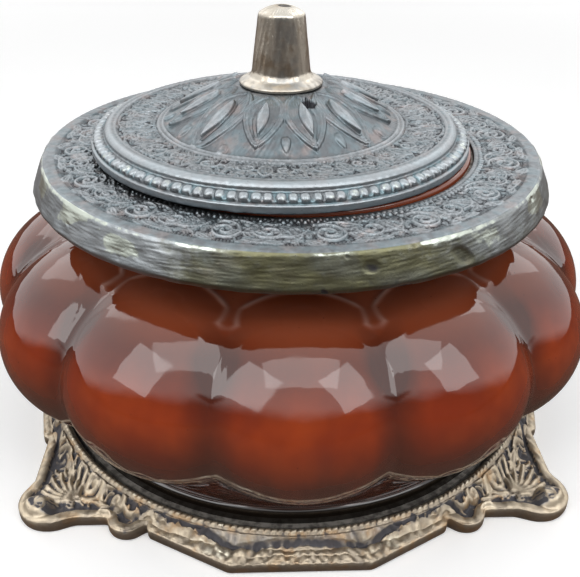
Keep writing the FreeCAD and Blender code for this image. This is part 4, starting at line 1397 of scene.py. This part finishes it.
@dataclass
class Studio:
    """The floor, the soft panels, the surround and the camera, whose distances are in millimetres."""

    floor_albedo: float = 0.90
    floor_mirrored: Colour = (0.14, 0.10, 0.08)
    fill: float = 0.40
    sky_span: tuple[float, float] = (0.34, 0.60)
    sky_glow: tuple[float, float] = (0.11, 1.3)
    sky_turn: tuple[float, float] = (0.55, 0.42)
    floor_glow: float = 0.24
    far_glow: float = 0.62
    floor_fade: tuple[float, float] = (0.30, 0.90)
    floor_size: float = 8.0
    aim_z: float = 0.03
    camera_lens: float = 50.26
    camera_azimuth: float = -2.5
    camera_pitch: float = 29.94
    camera_roll: float = 0.74
    camera_out: float = 153.55
    camera_up: float = 113.3

    def camera(self) -> None:
        """Places the camera in front of the object, looking down on it."""
        data = bpy.data.cameras.new("camera")
        data.lens, data.clip_start, data.clip_end = self.camera_lens, 0.005, 20.0
        camera = bpy.data.objects.new("camera", data)
        side, pitch, roll = map(math.radians, (self.camera_azimuth, self.camera_pitch, self.camera_roll))
        ahead = Vector((-math.sin(side), math.cos(side), 0.0))
        across = Vector((math.cos(side), math.sin(side), 0.0))
        sight = ahead * math.cos(pitch) + Vector((0, 0, -math.sin(pitch)))
        up = ahead * math.sin(pitch) + Vector((0, 0, math.cos(pitch)))
        right = across * math.cos(roll) + up * math.sin(roll)
        top = up * math.cos(roll) - across * math.sin(roll)
        turn = Matrix((right, top, -sight)).transposed().to_4x4()
        place = -ahead * self.camera_out + Vector((0, 0, self.camera_up))
        camera.matrix_world = Matrix.Translation(place * MM) @ turn
        bpy.context.scene.collection.objects.link(camera)
        bpy.context.scene.camera = camera

    def panel(
        self, name: str, azimuth: float, rise: float, away: float, size: tuple[float, float], glow: float
    ) -> None:
        """Hangs one soft panel that faces the object.

        Args:
            name: the light's name.
            azimuth: its bearing in degrees, 0 in front and positive to the right.
            rise: its angle above the floor in degrees.
            away: its distance in metres.
            size: its width and height in metres.
            glow: its radiance, where 1 is white.
        """
        light = bpy.data.lights.new(name, "AREA")
        light.shape, light.size, light.size_y = "RECTANGLE", *size
        light.energy = glow * math.pi * size[0] * size[1]
        lamp = bpy.data.objects.new(name, light)
        side, up = math.radians(azimuth), math.radians(rise)
        toward = Vector((math.sin(side) * math.cos(up), -math.cos(side) * math.cos(up), math.sin(up)))
        lamp.location = toward * away + Vector((0, 0, self.aim_z))
        lamp.rotation_euler = toward.to_track_quat("Z", "Y").to_euler()
        bpy.context.scene.collection.objects.link(lamp)

    def world(self) -> None:
        """A white surround that lights a little; mirrored, it is dark in front and near the floor."""
        world = bpy.data.worlds.new("surround")
        world.use_nodes = True
        tree = world.node_tree
        background = next(node for node in tree.nodes if node.type == "BACKGROUND")

        def add(kind: str, settings: dict[str, object], values: dict[str | int, object]) -> bpy.types.Node:
            """A node with its settings, and its inputs linked to sockets or set to numbers."""
            node = tree.nodes.new(kind)
            for key, value in settings.items():
                setattr(node, key, value)
            for key, value in values.items():
                if isinstance(value, bpy.types.NodeSocket):
                    tree.links.new(value, node.inputs[key])
                else:
                    node.inputs[key].default_value = value
            return node

        rays = add("ShaderNodeLightPath", {}, {}).outputs
        straight = {0: rays["Is Camera Ray"], 1: rays["Is Transmission Ray"]}
        seen = add("ShaderNodeMath", {"operation": "MAXIMUM"}, straight).outputs[0]
        way = add("ShaderNodeTexCoord", {}, {}).outputs["Generated"]
        split = add("ShaderNodeSeparateXYZ", {}, {0: way}).outputs
        turn = {0: split["Y"], 1: self.sky_turn[0], 2: self.sky_turn[1]}
        side = add("ShaderNodeMath", {"operation": "MULTIPLY_ADD", "use_clamp": True}, turn).outputs[0]
        height = add("ShaderNodeMath", {}, {0: side, 1: split["Z"]}).outputs[0]
        span = dict(zip(("From Min", "From Max", "To Min", "To Max"), (*self.sky_span, *self.sky_glow)))
        sky = add("ShaderNodeMapRange", {"interpolation_type": "SMOOTHSTEP"}, {"Value": height, **span})
        mirrored = {"Factor": rays["Is Glossy Ray"], "A": self.fill, "B": sky.outputs[0]}
        lit = add("ShaderNodeMix", {}, mirrored).outputs[0]
        level = add("ShaderNodeMix", {}, {"Factor": seen, "A": lit, "B": 1.0}).outputs[0]
        tree.links.new(level, background.inputs["Strength"])
        background.inputs["Color"].default_value = (1.0, 1.0, 1.0, 1.0)
        bpy.context.scene.world = world

    def floor(self) -> None:
        """A pale floor that keeps the object's shadow and shows near white to the camera."""
        bpy.ops.mesh.primitive_plane_add(size=self.floor_size, location=(0.0, 0.0, 0.0))
        plane = bpy.context.active_object
        plane.name = "floor"
        desk = Desk("pale_floor")
        paths = desk.node("ShaderNodeLightPath").outputs
        rays, mirrored = Shade(desk, paths["Is Camera Ray"]), Shade(desk, paths["Is Glossy Ray"])
        cloud = desk.noise(3.0, 2.0)
        white = (self.floor_albedo,) * 3
        shown = desk.blend(cloud, white, tuple(c * 0.985 for c in white))
        away = desk.node("ShaderNodeVectorMath", {"operation": "LENGTH"}, {0: desk.place()}).outputs["Value"]
        near, far = (self.floor_glow,) * 3, (self.far_glow,) * 3
        glow = desk.blend(Shade(desk, away).step(*self.floor_fade), near, far)
        desk.surface(
            Base_Color=desk.blend(mirrored, shown, self.floor_mirrored),
            Roughness=0.9,
            Specular_IOR_Level=0.1,
            Emission_Color=desk.blend(rays, (0.0, 0.0, 0.0), glow),
            Emission_Strength=1.0,
        )
        plane.data.materials.append(desk.material)

    def make(self) -> None:
        """Sets up the whole studio."""
        self.camera()
        self.world()
        self.floor()
        self.panel("panel_front_high", 0, 66, 0.62, (0.62, 0.30), 1.7)
        self.panel("panel_front_left", -52, 41, 0.60, (0.36, 0.38), 2.3)
        self.panel("panel_front_right", 48, 41, 0.60, (0.30, 0.38), 2.2)
        self.panel("panel_back_left", -140, 40, 0.75, (0.40, 0.40), 1.2)
        self.panel("panel_back_right", 140, 40, 0.75, (0.40, 0.40), 1.2)
        view = bpy.context.scene.view_settings
        view.view_transform = "Standard"


def save_sizes() -> None:
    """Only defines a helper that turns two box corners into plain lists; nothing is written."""
    def plain(bounds: object) -> list[list[float]]:
        """The two corners as plain lists."""
        return [[float(v) for v in corner] for corner in bounds]


def main() -> None:
    """Builds every sub-assembly in order, then the studio."""
    logging.basicConfig(level=logging.INFO, format="%(name)s: %(message)s")
    collar_low, collar_top = (corner.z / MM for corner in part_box("collar"))
    glass_low, glass_top = (corner.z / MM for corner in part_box("glass_bowl"))
    knob_low, knob_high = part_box("knob")
    lid_axis = (knob_low.x + knob_high.x) / 2 / MM

    pewter, brass = PEWTER.make(), BRASS.make()
    Stand().make(brass)
    Glass(foot_z=glass_low, rim_z=glass_top).make(AmberGlass().make())
    Collar(top_z=collar_top, low_z=collar_low).make(pewter)
    Lid(seat_z=glass_top, axis_x=lid_axis).make(pewter)
    Knob(seat_z=knob_low.z / MM, top_z=knob_high.z / MM, axis_x=lid_axis).make(PEG_METAL.make())

    plaster, steel = Plaster().make(), TurnedSteel().make()
    for node in ("base_cement", "collar_cement"):
        refinish(node, plaster)
    for node in ("knob_washer", "knob_screw"):
        refinish(node, steel)
    Studio().make()
    save_sizes()


if __name__ == "__main__":
    main()
